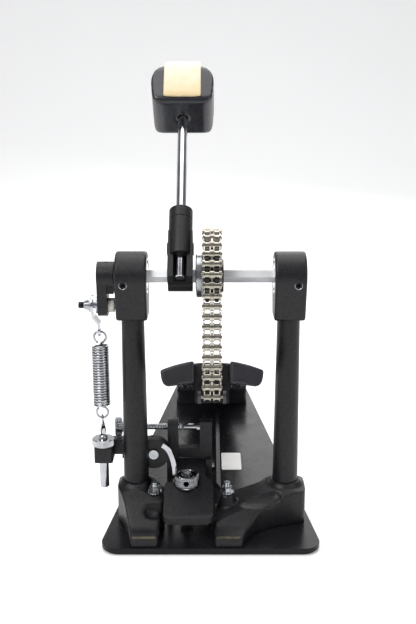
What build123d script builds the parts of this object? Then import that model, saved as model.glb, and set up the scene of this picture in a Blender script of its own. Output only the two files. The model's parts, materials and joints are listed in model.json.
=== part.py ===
from build123d import *
import os
from math import atan2, cos, degrees, pi, radians, sin

# Bass drum pedal, in millimetres.
# +X is to the right seen from the drum, +Y runs from the drum to the player's heel, +Z is up.
# The origin is on the floor, on the pedal's centre plane, straight below the axle.

# ------------------------------------------------------------------ clearances
RUN = 0.05  # radial running clearance of shafts, pins and screws in their holes
GAP = 0.3  # space between faces of neighbouring pieces that move apart

# ------------------------------------------------------------------ base plate
BASE_FRONT = -56.0
BASE_REAR = 325.0
BASE_HALF_FRONT = 87.8
BASE_HALF_REAR = 40.4
BASE_FRONT_RADIUS = 13.0
BASE_REAR_RADIUS = 10.0
RUBBER = 2.0
STEEL = 4.0
PLATE_TOP = RUBBER + STEEL
RIB_HALF = 9.0
RIB_HEIGHT = 3.0
RIB_FRONT = 50.0
RIB_REAR = 235.0

# ------------------------------------------------------------------ uprights and axle
AXLE_Z = 211.0
AXLE_FLATS = 10.0
AXLE_LEFT = -86.7
AXLE_RIGHT = 74.0
POST_X = 61.5
POST_FOOT_RADIUS = 10.3
POST_HEAD_RADIUS = 9.0
POST_SOCKET = 8.0
FOOT_TOP = 40.0
HOUSING_WIDTH = 24.5
HOUSING_RADIUS = 19.0
HOUSING_BOTTOM = 177.0
HOUSING_BASE_HALF = 12.5
HOUSING_CORNER = 3.5
BEARING_RADIUS = 14.0
BEARING_WIDTH = 8.0
BEARING_BORE_RADIUS = 8.0
BALL_RADIUS = 1.6
BALL_COUNT = 9
SET_SCREW_RADIUS = 2.5
SET_SCREW_OFFSET = 5.5

# ------------------------------------------------------------------ feet and floor spurs
TOE_FRONT = -54.0
TOE_HEIGHT = 9.0
FOOT_REAR = 16.0
FOOT_STEP = -12.0
LEFT_SPUR_X = -45.6
RIGHT_SPUR_X = 13.4
SPUR_Y = -15.0
SPUR_RADIUS = 2.5
SPUR_TOP = 43.0
LUG_TOP = 34.0
FOOT_BOLT_RADIUS = 2.5
TOE_SCREW_TOP = 12.5

# ------------------------------------------------------------------ drive: sprocket, chain, beater
PITCH = 8.0
SPROCKET_TEETH = 27
CHAIN_X = 1.0
STRAND = 3.55
ROLLER_RADIUS = 2.5
INNER_WIDTH = 3.6
PLATE_THICK = 0.8
MID_PLATE = 1.4
PLATE_RADIUS = 3.5
WAIST_HALF = 2.3
PIN_RADIUS = 1.15
CHAIN_HALF_WIDTH = 7.8
WRAP_LINKS = 9
MOVING_LINKS = 3
FALL_LINKS = 11
SECTOR_LOW = -27.0
SECTOR_HIGH = 138.0
KEEPER_ANGLE = 131.0
KEEPER_SEAT = 38.4
DRUM_RADIUS = 30.2
HUB_RADIUS = 13.0
COLLAR_RADIUS = 17.0
COLLAR_WIDTH = 5.6
BEATER_X = -23.5
BEATER_LEAN = 42.0
BEATER_OFFSET = 13.6
ROD_RADIUS = 4.0
ROD_LOW = -10.0
HOLDER_WIDTH = 19.2
HOLDER_RADIUS = 9.35
HOLDER_HUB_RADIUS = 12.5
SLEEVE_LOW = 9.0
SLEEVE_HIGH = 41.5
KEY_BOLT_HEIGHT = 36.0
LOCK_HEIGHT = 9.5
HEAD_CENTRE = 167.0
HEAD_WIDTH = 53.0
HEAD_DEPTH = 45.0
HEAD_HEIGHT = 46.0
FELT_WIDTH = 31.0
FELT_THICK = 3.5

# ------------------------------------------------------------------ spring side
ROCKER_LEFT = -88.3
ROCKER_RIGHT = -75.3
ROCKER_RADIUS = 11.0
ROCKER_PIVOT = 23.7
PIVOT_RADIUS = 2.5
PIVOT_TIP = -104.0
SPRING_X = -88.0
SPRING_RADIUS = 5.4
SPRING_WIRE = 1.9
SPRING_LOW = 103.8
SPRING_HIGH = 154.3
SPRING_TURNS = 23
BAR_EXTRA = 0.2  # the bars across the spring's ends are this much thicker in radius than its wire
HANGER_EYE_Z = 166.5
HANGER_EYE_RADIUS = 2.2
UPPER_LOOP_RADIUS = 4.5
LOWER_LOOP_RADIUS = 4.4
HOOK_RADIUS = 3.0
HOOK_WIRE = 1.2
ROD_SLEEVE_RADIUS = 3.8
ROD_SLEEVE_LOW = 32.0
ROD_SLEEVE_TOP = 78.0
ARM_LOW = 56.0
ARM_HIGH = 69.0
ARM_BACK = 19.0
ARM_THICK = 9.0
ARM_BOSS_X = -47.0
ARM_BOSS_Z = 60.0
ARM_BOSS_RADIUS = 13.0
ARM_BOSS_Y = (2.0, 11.0)
NUT_RADIUS = 9.2
NUT_THICK = 6.0

# ------------------------------------------------------------------ hoop clamp
JAW_X = -17.8
JAW_WIDTH = 39.6
JAW_NECK = 27.0
JAW_FRONT = -45.0
JAW_CORNER = 4.0
JAW_PIVOT = (16.0, 44.0)
CLAMP_NUT_X = -19.7
CLAMP_NUT_Y = -12.0
CLAMP_NUT_RADIUS = 9.85
CLAMP_NUT_LOW = 39.6
LEVER_LOW = 38.35
LEVER_HIGH = 39.55
CLAMP_NUT_HEIGHT = 9.0
CLAMP_BOLT_RADIUS = 3.0
EAR_THICK = 5.0
WING_BOLT_Y = 17.0
WING_BOLT_Z = 78.0
WING_BOLT_RADIUS = 2.5
WING_BOLT_LEFT = -78.0
WING_BOLT_TIP = -24.0
WING_SPAN = 8.4
BOSS_X = (-36.0, -27.0)
BOSS_TOP = 85.0

# ------------------------------------------------------------------ footboard and heel
HINGE_Y = 255.0
HINGE_Z = 28.0
HINGE_PIN_RADIUS = 2.5
KNUCKLE_RADIUS = 6.0
KNUCKLE_HALF = 22.0
BOARD_X = 1.0
BOARD_LENGTH = 318.0
BOARD_SLOPE = 22.3
BOARD_HALF = 30.0
BOARD_THICK = 4.0
FLANGE_DEPTH = 10.0
FLANGE_THICK = 3.5
WING_HALF = 39.0
WING_LENGTH = 58.0
WING_CROWN = 8.0
WING_DEPTH = 14.0
NOTCH_HALF = 13.5
NOTCH_LENGTH = 26.0
CLEVIS_SLOT_HALF = 3.3
CLEVIS_PLAY = 1.6  # above and below the chain's last pin
HEEL_HALF = 39.5
HEEL_FRONT = 262.5
HEEL_REAR = 321.0
HEEL_FRONT_TOP = 33.0
HEEL_REAR_TOP = 22.0

# ------------------------------------------------------------------ sizes worked out from the above
STEP_ANGLE = 360.0 / SPROCKET_TEETH
PITCH_RADIUS = PITCH / (2.0 * sin(pi / SPROCKET_TEETH))
LEAN_SIN = sin(radians(BEATER_LEAN))
LEAN_COS = cos(radians(BEATER_LEAN))
CHAIN_ANCHOR_Z = AXLE_Z - FALL_LINKS * PITCH
UPPER_LOOP_Z = HANGER_EYE_Z - HANGER_EYE_RADIUS + SPRING_WIRE / 2 + GAP - UPPER_LOOP_RADIUS
LOWER_LOOP_Z = SPRING_LOW - SPRING_WIRE - GAP - LOWER_LOOP_RADIUS
LOWER_EYE_Z = LOWER_LOOP_Z - LOWER_LOOP_RADIUS
HOOK_Z = LOWER_EYE_Z + SPRING_WIRE / 2 + GAP - HOOK_RADIUS + HOOK_WIRE / 2
SLOPE_SIN = sin(radians(BOARD_SLOPE))
SLOPE_COS = cos(radians(BOARD_SLOPE))


# ------------------------------------------------------------------ general helpers
def block(x, y, z):
    """A box between two limits on each axis."""
    size = (x[1] - x[0], y[1] - y[0], z[1] - z[0])
    centre = ((x[0] + x[1]) / 2, (y[0] + y[1]) / 2, (z[0] + z[1]) / 2)
    return Pos(*centre) * Box(*size)


def rod(start, end, radius, top_radius=None):
    """A round bar, or a cone, from one point to another."""
    direction = Vector(*end) - Vector(*start)
    plane = Plane(origin=start, z_dir=direction)
    base = (Align.CENTER, Align.CENTER, Align.MIN)
    if top_radius is None:
        return plane * Cylinder(radius, direction.length, align=base)
    return plane * Cone(radius, top_radius, direction.length, align=base)


def x_rod(x, y, z, radius):
    """A round bar along X between two limits."""
    return rod((x[0], y, z), (x[1], y, z), radius)


def hex_bar(start, end, flats, turn=0.0):
    """A hexagonal bar from one point to another, across flats."""
    direction = Vector(*end) - Vector(*start)
    plane = Plane(origin=start, z_dir=direction)
    face = plane * Rot(0, 0, turn) * RegularPolygon(flats / 2, 6, major_radius=False)
    return extrude(face, direction.length, dir=direction)


def profile_x(points, x):
    """A solid with a (Y, Z) outline, extruded between two X limits."""
    loop = Polyline(*[(x[0], y, z) for y, z in points], close=True)
    return extrude(make_face(loop), x[1] - x[0], dir=(1, 0, 0))


def plan(points, z, rounded=None):
    """A solid with an (X, Y) outline between two Z limits; rounded gives {corner index: radius}."""
    face = make_face(Polyline(*[(x, y, 0) for x, y in points], close=True))
    for index, radius in (rounded or {}).items():
        corner = face.vertices().sort_by_distance((points[index][0], points[index][1], 0))[0]
        face = fillet(corner, radius)
    return Pos(0, 0, z[0]) * extrude(face, z[1] - z[0])


def knurled(radius, height, count, depth):
    """A disc standing on Z=0 with straight grooves round its rim."""
    disc = Cylinder(radius, height, align=(Align.CENTER, Align.CENTER, Align.MIN))
    groove = Pos(radius + depth * 0.6, 0, height / 2) * Cylinder(depth, height * 2)
    return disc - [Rot(0, 0, 360.0 * k / count) * groove for k in range(count)]


def ring_eye(centre, radius, wire, axis):
    """A ring of round wire about an axis."""
    section = Plane.XZ * Pos(radius, 0, 0) * Rot(0, 0, 180) * Circle(wire / 2)
    return Plane(origin=centre, z_dir=axis) * revolve(section, Axis.Z, 360)


def wrap_point(degrees_up, radius=PITCH_RADIUS):
    """(Y, Z) of a point on the sprocket: 0 is the front tangent, 90 the top."""
    angle = radians(degrees_up)
    return -radius * cos(angle), AXLE_Z + radius * sin(angle)


def beater_point(along, x=BEATER_X, strike=0.0, across=0.0):
    """A point given along the beater rod, and across it towards the drum."""
    forward = BEATER_OFFSET + strike
    y = -forward * LEAN_COS + along * LEAN_SIN
    z = AXLE_Z + forward * LEAN_SIN + along * LEAN_COS
    return x + across, y, z


BEATER_AXIS = Vector(0, LEAN_SIN, LEAN_COS)
STRIKE_AXIS = Vector(0, -LEAN_COS, LEAN_SIN)

NODES = {}
AXLE_SCREWS = []  # set screws that lock collar, holder and rocker on the axle


def node(name, *solids):
    """Keep one named sub-part, made of one or more separate solids."""
    flat = []
    for piece in solids:
        flat.extend(piece.solids())
    NODES[name] = flat


# ------------------------------------------------------------------ base
def base_outline(inset, z):
    """The base plate's outline, drawn in by an inset."""
    front = BASE_HALF_FRONT - inset
    rear = BASE_HALF_REAR - inset
    y_front = BASE_FRONT + inset
    y_rear = BASE_REAR - inset
    points = [(-front, y_front), (front, y_front), (rear, y_rear), (-rear, y_rear)]
    radii = {0: BASE_FRONT_RADIUS, 1: BASE_FRONT_RADIUS, 2: BASE_REAR_RADIUS, 3: BASE_REAR_RADIUS}
    return plan(points, z, radii)


FOOT_BOLTS = [(-POST_X, 6.0), (-52.0, -42.0), (POST_X, 6.0), (14.0, -42.0)]
HEEL_SCREWS = [(BOARD_X - 27.0, 300.0), (BOARD_X + 27.0, 300.0)]
CLAMP_SCREWS = [(JAW_X - 7.0, 26.0), (JAW_X + 7.0, 26.0)]
SPURS = [LEFT_SPUR_X, RIGHT_SPUR_X]


def upright_hole(x, y, z, radius):
    """A vertical hole's cutter."""
    return rod((x, y, z[0]), (x, y, z[1]), radius)


def make_base():
    """Steel plate with its stamped rib, rubber sheet below and screws from beneath."""
    rib_length = RIB_REAR - RIB_FRONT
    foot = Pos(0, (RIB_FRONT + RIB_REAR) / 2, PLATE_TOP) * Rectangle(2 * RIB_HALF, rib_length)
    rib = extrude(foot, RIB_HEIGHT, taper=50)
    screw_holes = FOOT_BOLTS + CLAMP_SCREWS
    sunk = [upright_hole(x, y, (RUBBER, RUBBER + STEEL), FOOT_BOLT_RADIUS + RUN) for x, y in screw_holes]
    heads = [
        rod((x, y, RUBBER), (x, y, RUBBER + 2.2), 4.7 + RUN, FOOT_BOLT_RADIUS + RUN) for x, y in screw_holes
    ]
    spurs = [upright_hole(x, SPUR_Y, (-1, PLATE_TOP + 1), SPUR_RADIUS + GAP) for x in SPURS]
    heels = [upright_hole(x, y, (RUBBER, PLATE_TOP), FOOT_BOLT_RADIUS + RUN) for x, y in HEEL_SCREWS]
    node("base_plate", base_outline(0, (RUBBER, PLATE_TOP)) + rib - sunk - heads - spurs - heels)
    node("base_rubber", base_outline(1.5, (0, RUBBER)) - spurs)
    long_screws = [countersunk(x, y, 22.0 if y > 0 else TOE_SCREW_TOP) for x, y in FOOT_BOLTS]
    short_screws = [countersunk(x, y, 9.5) for x, y in CLAMP_SCREWS]
    node("base_screws", *long_screws, *short_screws)


def countersunk(x, y, top):
    """A countersunk screw driven up through the base plate."""
    head = rod((x, y, RUBBER + 0.05), (x, y, RUBBER + 2.2), 4.6, FOOT_BOLT_RADIUS)
    shank = rod((x, y, RUBBER + 2.0), (x, y, top), FOOT_BOLT_RADIUS)
    return head + shank


# ------------------------------------------------------------------ feet, posts and housings
def foot_profile(x):
    """The feet's side view: high under the post, falling in a hollow curve to the toe."""
    toe_top = PLATE_TOP + TOE_HEIGHT
    hollow = [(FOOT_STEP, FOOT_TOP - 1.0), (-24.0, 30.0), (-38.0, toe_top + 3.0), (TOE_FRONT + 7.0, toe_top)]
    rise = Spline([(x[0], y, z) for y, z in hollow], tangents=[(0, -0.6, -1), (0, -1, 0)])
    outline = Polyline(
        (x[0], TOE_FRONT + 7.0, toe_top),
        (x[0], TOE_FRONT, toe_top - 1.5),
        (x[0], TOE_FRONT, PLATE_TOP),
        (x[0], FOOT_REAR, PLATE_TOP),
        (x[0], FOOT_REAR, FOOT_TOP - 4.0),
        (x[0], FOOT_REAR - 4.0, FOOT_TOP),
        (x[0], FOOT_STEP + 3.0, FOOT_TOP),
        (x[0], FOOT_STEP, FOOT_TOP - 1.0),
    )
    return extrude(make_face(outline + rise), x[1] - x[0], dir=(1, 0, 0))


def capsule(start, end, radius):
    """A round bar with ball ends."""
    return rod(start, end, radius) + Pos(*start) * Sphere(radius) + Pos(*end) * Sphere(radius)


def foot_holes(bolts, spur_x):
    """Cutters for the bolts from beneath and for the floor spur."""
    depths = [22.4 if y > 0 else TOE_SCREW_TOP + 0.4 for _, y in bolts]
    cuts = [upright_hole(x, y, (0, top), FOOT_BOLT_RADIUS + RUN) for (x, y), top in zip(bolts, depths)]
    cuts.append(upright_hole(spur_x, SPUR_Y, (0, 60.0), SPUR_RADIUS + RUN))
    return cuts


def make_feet():
    """Cast feet: the left one runs straight to its toe, the right one sweeps across to it."""
    outer = -POST_X - 15.0
    left_points = [
        (-63.0, TOE_FRONT), (-41.0, TOE_FRONT), (-41.0, -27.0), (-37.8, -24.0), (-37.8, -4.0),
        (-46.0, 5.0), (-47.5, FOOT_REAR), (outer, FOOT_REAR), (outer, -8.0), (-70.5, -22.0), (-66.0, -36.0),
    ]
    rounded = {0: 1.5, 1: 1.5, 6: 5.0, 7: 6.0, 8: 8.0, 9: 20.0, 10: 20.0}
    left = plan(left_points, (PLATE_TOP, FOOT_TOP), rounded)
    left &= foot_profile((outer - 2, -30.0))
    left -= capsule((-40.0, -33.0, 27.0), (-47.0, -33.0, 27.0), 7.5)
    lug_cut = block((-52.0, -30.0), (-30.0, 0.0), (LUG_TOP, 60.0))
    socket = rod((-POST_X, 0, FOOT_TOP - POST_SOCKET), (-POST_X, 0, FOOT_TOP + 20), POST_FOOT_RADIUS + RUN)
    left_bolts = [spot for spot in FOOT_BOLTS if spot[0] < 0]
    node("left_foot", left - lug_cut - socket - foot_holes(left_bolts, LEFT_SPUR_X))

    outer = POST_X + 16.0
    right_points = [
        (3.0, TOE_FRONT), (25.0, TOE_FRONT), (29.0, -42.0), (38.0, -31.0), (52.0, -23.0), (66.0, -18.5),
        (outer, -14.0), (outer, FOOT_REAR), (48.5, FOOT_REAR), (42.0, 4.0), (20.0, 2.0), (5.0, -3.0),
        (3.0, -10.0),
    ]
    rounded = {0: 1.5, 1: 1.5, 2: 14.0, 3: 14.0, 4: 14.0, 6: 5.0, 7: 6.0, 8: 5.0, 9: 8.0}
    right = plan(right_points, (PLATE_TOP, FOOT_TOP), rounded)
    right &= foot_profile((0.0, outer + 2))
    right -= capsule((27.0, -25.0, 37.0), (50.0, -25.0, 37.0), 11.0)
    lug_cut = block((0.0, 19.5), (-30.0, 0.0), (LUG_TOP, 60.0))
    socket = rod((POST_X, 0, FOOT_TOP - POST_SOCKET), (POST_X, 0, FOOT_TOP + 20), POST_FOOT_RADIUS + RUN)
    right_bolts = [spot for spot in FOOT_BOLTS if spot[0] > 0]
    node("right_foot", right - lug_cut - socket - foot_holes(right_bolts, RIGHT_SPUR_X))


def make_spurs():
    """Pointed screws that grip the floor, each with a washer and a lock nut."""
    nuts = []
    for name, x in (("left_spur", LEFT_SPUR_X), ("right_spur", RIGHT_SPUR_X)):
        spur = rod((x, SPUR_Y, 6.0), (x, SPUR_Y, SPUR_TOP), SPUR_RADIUS)
        spur += rod((x, SPUR_Y, 0.5), (x, SPUR_Y, 6.0), 0.4, SPUR_RADIUS)
        node(name, spur)
        seat = LUG_TOP
        washer = knurled(5.6, 0.9, 12, 0.8)
        nut = hex_bar((0, 0, 0.9), (0, 0, 4.7), 8.0, 15.0)
        hole = Cylinder(SPUR_RADIUS + RUN, 30)
        nuts.append(Pos(x, SPUR_Y, seat) * (washer + nut - hole))
    node("spur_nuts", *nuts)


def post_radius(z):
    """The posts' outside radius at a height."""
    share = (z - FOOT_TOP) / (HOUSING_BOTTOM - FOOT_TOP)
    return POST_FOOT_RADIUS + (POST_HEAD_RADIUS - POST_FOOT_RADIUS) * share


def make_posts():
    """Tapered columns with a plain spigot at each end."""
    for side, name in ((-1, "left_post"), (1, "right_post")):
        x = side * POST_X
        column = rod((x, 0, FOOT_TOP), (x, 0, HOUSING_BOTTOM), POST_FOOT_RADIUS, POST_HEAD_RADIUS)
        spigot = rod((x, 0, FOOT_TOP - POST_SOCKET), (x, 0, FOOT_TOP), POST_FOOT_RADIUS)
        head = rod((x, 0, HOUSING_BOTTOM), (x, 0, HOUSING_BOTTOM + POST_SOCKET), POST_HEAD_RADIUS)
        node(name, column + spigot + head)


def make_housings():
    """Housings with a ball bearing in the inner face and a set screw in the front."""
    outers, inners, balls, screws = [], [], [], []
    for side, name in ((-1, "left_housing"), (1, "right_housing")):
        middle = side * POST_X
        limits = (middle - HOUSING_WIDTH / 2, middle + HOUSING_WIDTH / 2)
        corner_y = HOUSING_BASE_HALF - HOUSING_CORNER
        corner_z = HOUSING_BOTTOM - AXLE_Z + HOUSING_CORNER
        rounds = [Circle(HOUSING_RADIUS)]
        rounds += [Pos(y, corner_z) * Circle(HOUSING_CORNER) for y in (-corner_y, corner_y)]
        outline = make_hull([edge for face in rounds for edge in face.edges()])
        side_view = Plane(origin=(limits[0], 0, AXLE_Z), x_dir=(0, 1, 0), z_dir=(1, 0, 0)) * outline
        shell = extrude(side_view, HOUSING_WIDTH)
        rims = shell.edges().filter_by(Axis.X, reverse=True)
        shell = fillet(rims, 2.0)
        inner_face = middle - side * HOUSING_WIDTH / 2
        pocket = (inner_face, inner_face + side * BEARING_WIDTH)
        shell -= x_rod((min(pocket), max(pocket)), 0, AXLE_Z, BEARING_RADIUS + RUN)
        shell -= x_rod(limits, 0, AXLE_Z, AXLE_FLATS / 2 + 3.0)
        socket_low = (middle, 0, HOUSING_BOTTOM - 20)
        socket = rod(socket_low, (middle, 0, HOUSING_BOTTOM + POST_SOCKET), POST_HEAD_RADIUS + RUN)
        screw_x = side * (POST_X + SET_SCREW_OFFSET)
        screw_z = AXLE_Z - 4
        screw_start = (screw_x, -HOUSING_RADIUS - 1, screw_z)
        screw_hole = rod(screw_start, (screw_x, -10.5, screw_z), SET_SCREW_RADIUS + RUN)
        node(name, shell - socket - screw_hole)
        screw = rod((screw_x, -17.6, screw_z), (screw_x, -11.0, screw_z), SET_SCREW_RADIUS)
        screws.append(screw - hex_bar((screw_x, -18.0, screw_z), (screw_x, -14.6, screw_z), 2.6))
        race = (min(pocket) + 0.05, max(pocket) - 0.05)
        race_middle = (race[0] + race[1]) / 2
        track = BEARING_RADIUS - 3.0
        groove = Plane(origin=(race_middle, 0, AXLE_Z), z_dir=(1, 0, 0)) * Torus(track, BALL_RADIUS + RUN)
        outer = x_rod(race, 0, AXLE_Z, BEARING_RADIUS) - x_rod(race, 0, AXLE_Z, track + 0.9)
        inner = x_rod(race, 0, AXLE_Z, track - 0.9)
        inner -= hex_bar((race[0] - 1, 0, AXLE_Z), (race[1] + 1, 0, AXLE_Z), AXLE_FLATS + 2 * RUN, 30.0)
        outers.append(outer - groove)
        inners.append(inner - groove)
        for k in range(BALL_COUNT):
            angle = 2 * pi * k / BALL_COUNT
            spot = Pos(race_middle, track * cos(angle), AXLE_Z + track * sin(angle))
            balls.append(spot * Sphere(BALL_RADIUS))
    node("bearing_outer_rings", *outers)
    node("bearing_inner_rings", *inners)
    node("bearing_balls", *balls)
    node("housing_set_screws", *screws)


# ------------------------------------------------------------------ axle, sprocket and chain
def make_axle():
    """Hexagonal axle with one flat facing the drum."""
    bar = hex_bar((AXLE_LEFT, 0, AXLE_Z), (AXLE_RIGHT, 0, AXLE_Z), AXLE_FLATS, 30.0)
    tips = ((AXLE_LEFT, AXLE_LEFT + 1.0), (AXLE_RIGHT - 1.0, AXLE_RIGHT))
    ends = [x_rod(x, 0, AXLE_Z, AXLE_FLATS * 0.56) for x in tips]
    middle = block((AXLE_LEFT + 1.0, AXLE_RIGHT - 1.0), (-9, 9), (AXLE_Z - 9, AXLE_Z + 9))
    node("hex_axle", bar & (middle + ends))


def axle_hole(x):
    """A cutter for the axle's hexagon."""
    return hex_bar((x[0], 0, AXLE_Z), (x[1], 0, AXLE_Z), AXLE_FLATS + 2 * RUN, 30.0)


def sector(x, radius, low, high):
    """A pie slice about the axle between two angles above the front tangent."""
    steps = 8
    rim = [wrap_point(low + (high - low) * k / steps, radius * 1.6) for k in range(steps + 1)]
    wedge = profile_x([(0, AXLE_Z)] + rim, x)
    return wedge & x_rod(x, 0, AXLE_Z, radius)


def tooth_gap(angle, x):
    """A roller's seat between two teeth, opening outwards."""
    centre_y, centre_z = wrap_point(angle)
    seat = x_rod(x, centre_y, centre_z, ROLLER_RADIUS + GAP)
    low, high = ROLLER_RADIUS + GAP, ROLLER_RADIUS + GAP + 1.2
    corners = []
    for reach, half in ((0.0, -low), (4.0, -high), (4.0, high), (0.0, low)):
        base_y, base_z = wrap_point(angle, PITCH_RADIUS + reach)
        corners.append((base_y + half * sin(radians(angle)), base_z + half * cos(radians(angle))))
    return seat + profile_x(corners, x)


def make_sprocket():
    """Two rows of teeth on a drum sector, with a web and a hub; collar, clamp screw and chain keeper."""
    half = STRAND + INNER_WIDTH / 2
    body_x = (CHAIN_X - half, CHAIN_X + half)
    drum = sector(body_x, DRUM_RADIUS, SECTOR_LOW, SECTOR_HIGH)
    drum -= x_rod(body_x, 0, AXLE_Z, DRUM_RADIUS - 5.0)
    web = sector((CHAIN_X - 3.0, CHAIN_X + 3.0), DRUM_RADIUS - 1.0, SECTOR_LOW, SECTOR_HIGH)
    windows = []
    for angle in (0.0, 36.0, 72.0, 108.0):
        y, z = wrap_point(angle, 19.3)
        windows.append(x_rod((CHAIN_X - 4, CHAIN_X + 4), y, z, 4.4))
    hub_x = (CHAIN_X - 7.0, CHAIN_X + 9.0)
    hub = x_rod(hub_x, 0, AXLE_Z, HUB_RADIUS)
    teeth = []
    for side in (-1, 1):
        middle = CHAIN_X + side * STRAND
        tooth_x = (middle - 1.3, middle + 1.3)
        disc = sector(tooth_x, PITCH_RADIUS + 1.2, SECTOR_LOW, SECTOR_HIGH)
        disc -= x_rod(tooth_x, 0, AXLE_Z, DRUM_RADIUS - 2.0)
        seats = [tooth_gap(STEP_ANGLE * k, tooth_x) for k in range(-2, 11)]
        teeth.append(disc - seats)
    inner = (CHAIN_X, *wrap_point(KEEPER_ANGLE, DRUM_RADIUS - 9.0))
    seat = (CHAIN_X, *wrap_point(KEEPER_ANGLE, KEEPER_SEAT))
    head = (CHAIN_X, *wrap_point(KEEPER_ANGLE, KEEPER_SEAT + 1.6))
    pad = rod(inner, seat, 2.6)
    wheel = drum + (web - windows) + hub + teeth
    wheel = wheel + pad - axle_hole((-20, 20)) - rod(inner, head, 1.5 + RUN)
    node("sprocket", *wheel.solids())
    screw = rod(inner, seat, 1.5) + rod(seat, head, 3.6)
    node("chain_keeper_screw", screw)

    collar_x = (CHAIN_X - 7.0 - COLLAR_WIDTH, CHAIN_X - 7.0)
    collar = x_rod(collar_x, 0, AXLE_Z, COLLAR_RADIUS)
    collar = chamfer(collar.edges().filter_by(GeomType.CIRCLE), 0.8)
    screw_x = (collar_x[0] + collar_x[1]) / 2
    tip = (screw_x, 0, AXLE_Z - AXLE_FLATS / 2 - 0.9)
    collar_hole = rod((screw_x, 0, AXLE_Z - 20), (screw_x, 0, AXLE_Z - 4), 1.7 + RUN)
    node("sprocket_collar", collar - axle_hole((-20, 20)) - collar_hole)
    grub = rod((screw_x, 0, AXLE_Z - COLLAR_RADIUS + 0.6), tip, 1.7)
    socket = hex_bar((screw_x, 0, AXLE_Z - COLLAR_RADIUS), (screw_x, 0, AXLE_Z - COLLAR_RADIUS + 3.0), 1.8)
    AXLE_SCREWS.append(grub - socket)


def link_plate(x, y=0.0, z=0.0):
    """A waisted chain plate from Z=0 down to one pitch below."""
    top = x_rod(x, y, z, PLATE_RADIUS)
    bottom = x_rod(x, y, z - PITCH, PLATE_RADIUS)
    waist = block(x, (y - WAIST_HALF, y + WAIST_HALF), (z - PITCH, z))
    return top + bottom + waist


def outer_link():
    """Three plates riveted on two through pins, hanging from Z=0."""
    outer = STRAND + INNER_WIDTH / 2 + PLATE_THICK + 0.15
    link = link_plate((-MID_PLATE / 2, MID_PLATE / 2))
    link += link_plate((outer, outer + PLATE_THICK))
    link += link_plate((-outer - PLATE_THICK, -outer))
    for z in (0.0, -PITCH):
        link += x_rod((-CHAIN_HALF_WIDTH, CHAIN_HALF_WIDTH), 0, z, PIN_RADIUS)
    return link


def inner_link():
    """Two bushed roller links side by side, hanging from Z=0."""
    strands = []
    for side in (-1, 1):
        middle = side * STRAND
        near, far = INNER_WIDTH / 2, INNER_WIDTH / 2 + PLATE_THICK
        strand = link_plate((middle + near, middle + far)) + link_plate((middle - far, middle - near))
        for z in (0.0, -PITCH):
            strand += x_rod((middle - near, middle + near), 0, z, ROLLER_RADIUS)
            strand -= x_rod((middle - far - 1, middle + far + 1), 0, z, PIN_RADIUS + RUN)
        strands.append(strand)
    return strands


OUTER_LINK = outer_link()
INNER_LINK = inner_link()


def placed_link(index, upper, lower):
    """The solids of one link between two (Y, Z) pins; even links are riveted, odd ones carry the rollers."""
    lean = degrees(atan2(lower[0] - upper[0], upper[1] - lower[1]))
    place = Pos(CHAIN_X, upper[0], upper[1]) * Rot(lean, 0, 0)
    pieces = [OUTER_LINK] if index % 2 == 0 else INNER_LINK
    return [place * piece for piece in pieces]


def make_chain():
    """Duplex roller chain: the wrapped part, three links that leave the sprocket, and the straight fall."""
    pins = [wrap_point(STEP_ANGLE * (WRAP_LINKS - k)) for k in range(WRAP_LINKS + 1)]
    pins += [(-PITCH_RADIUS, AXLE_Z - PITCH * (k + 1)) for k in range(FALL_LINKS)]
    groups = {"chain_wrap": range(WRAP_LINKS - MOVING_LINKS)}
    for k in range(MOVING_LINKS):
        groups[f"chain_link_{k + 1}"] = [WRAP_LINKS - MOVING_LINKS + k]
    groups["chain_fall"] = range(WRAP_LINKS, WRAP_LINKS + FALL_LINKS)
    for name, links in groups.items():
        solids = []
        for index in links:
            solids.extend(placed_link(index, pins[index], pins[index + 1]))
        if name == "chain_fall":
            solids.append(x_rod((CHAIN_X - 9.5, CHAIN_X + 9.5), pins[-1][0], pins[-1][1], PIN_RADIUS))
        node(name, *solids)


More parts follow.
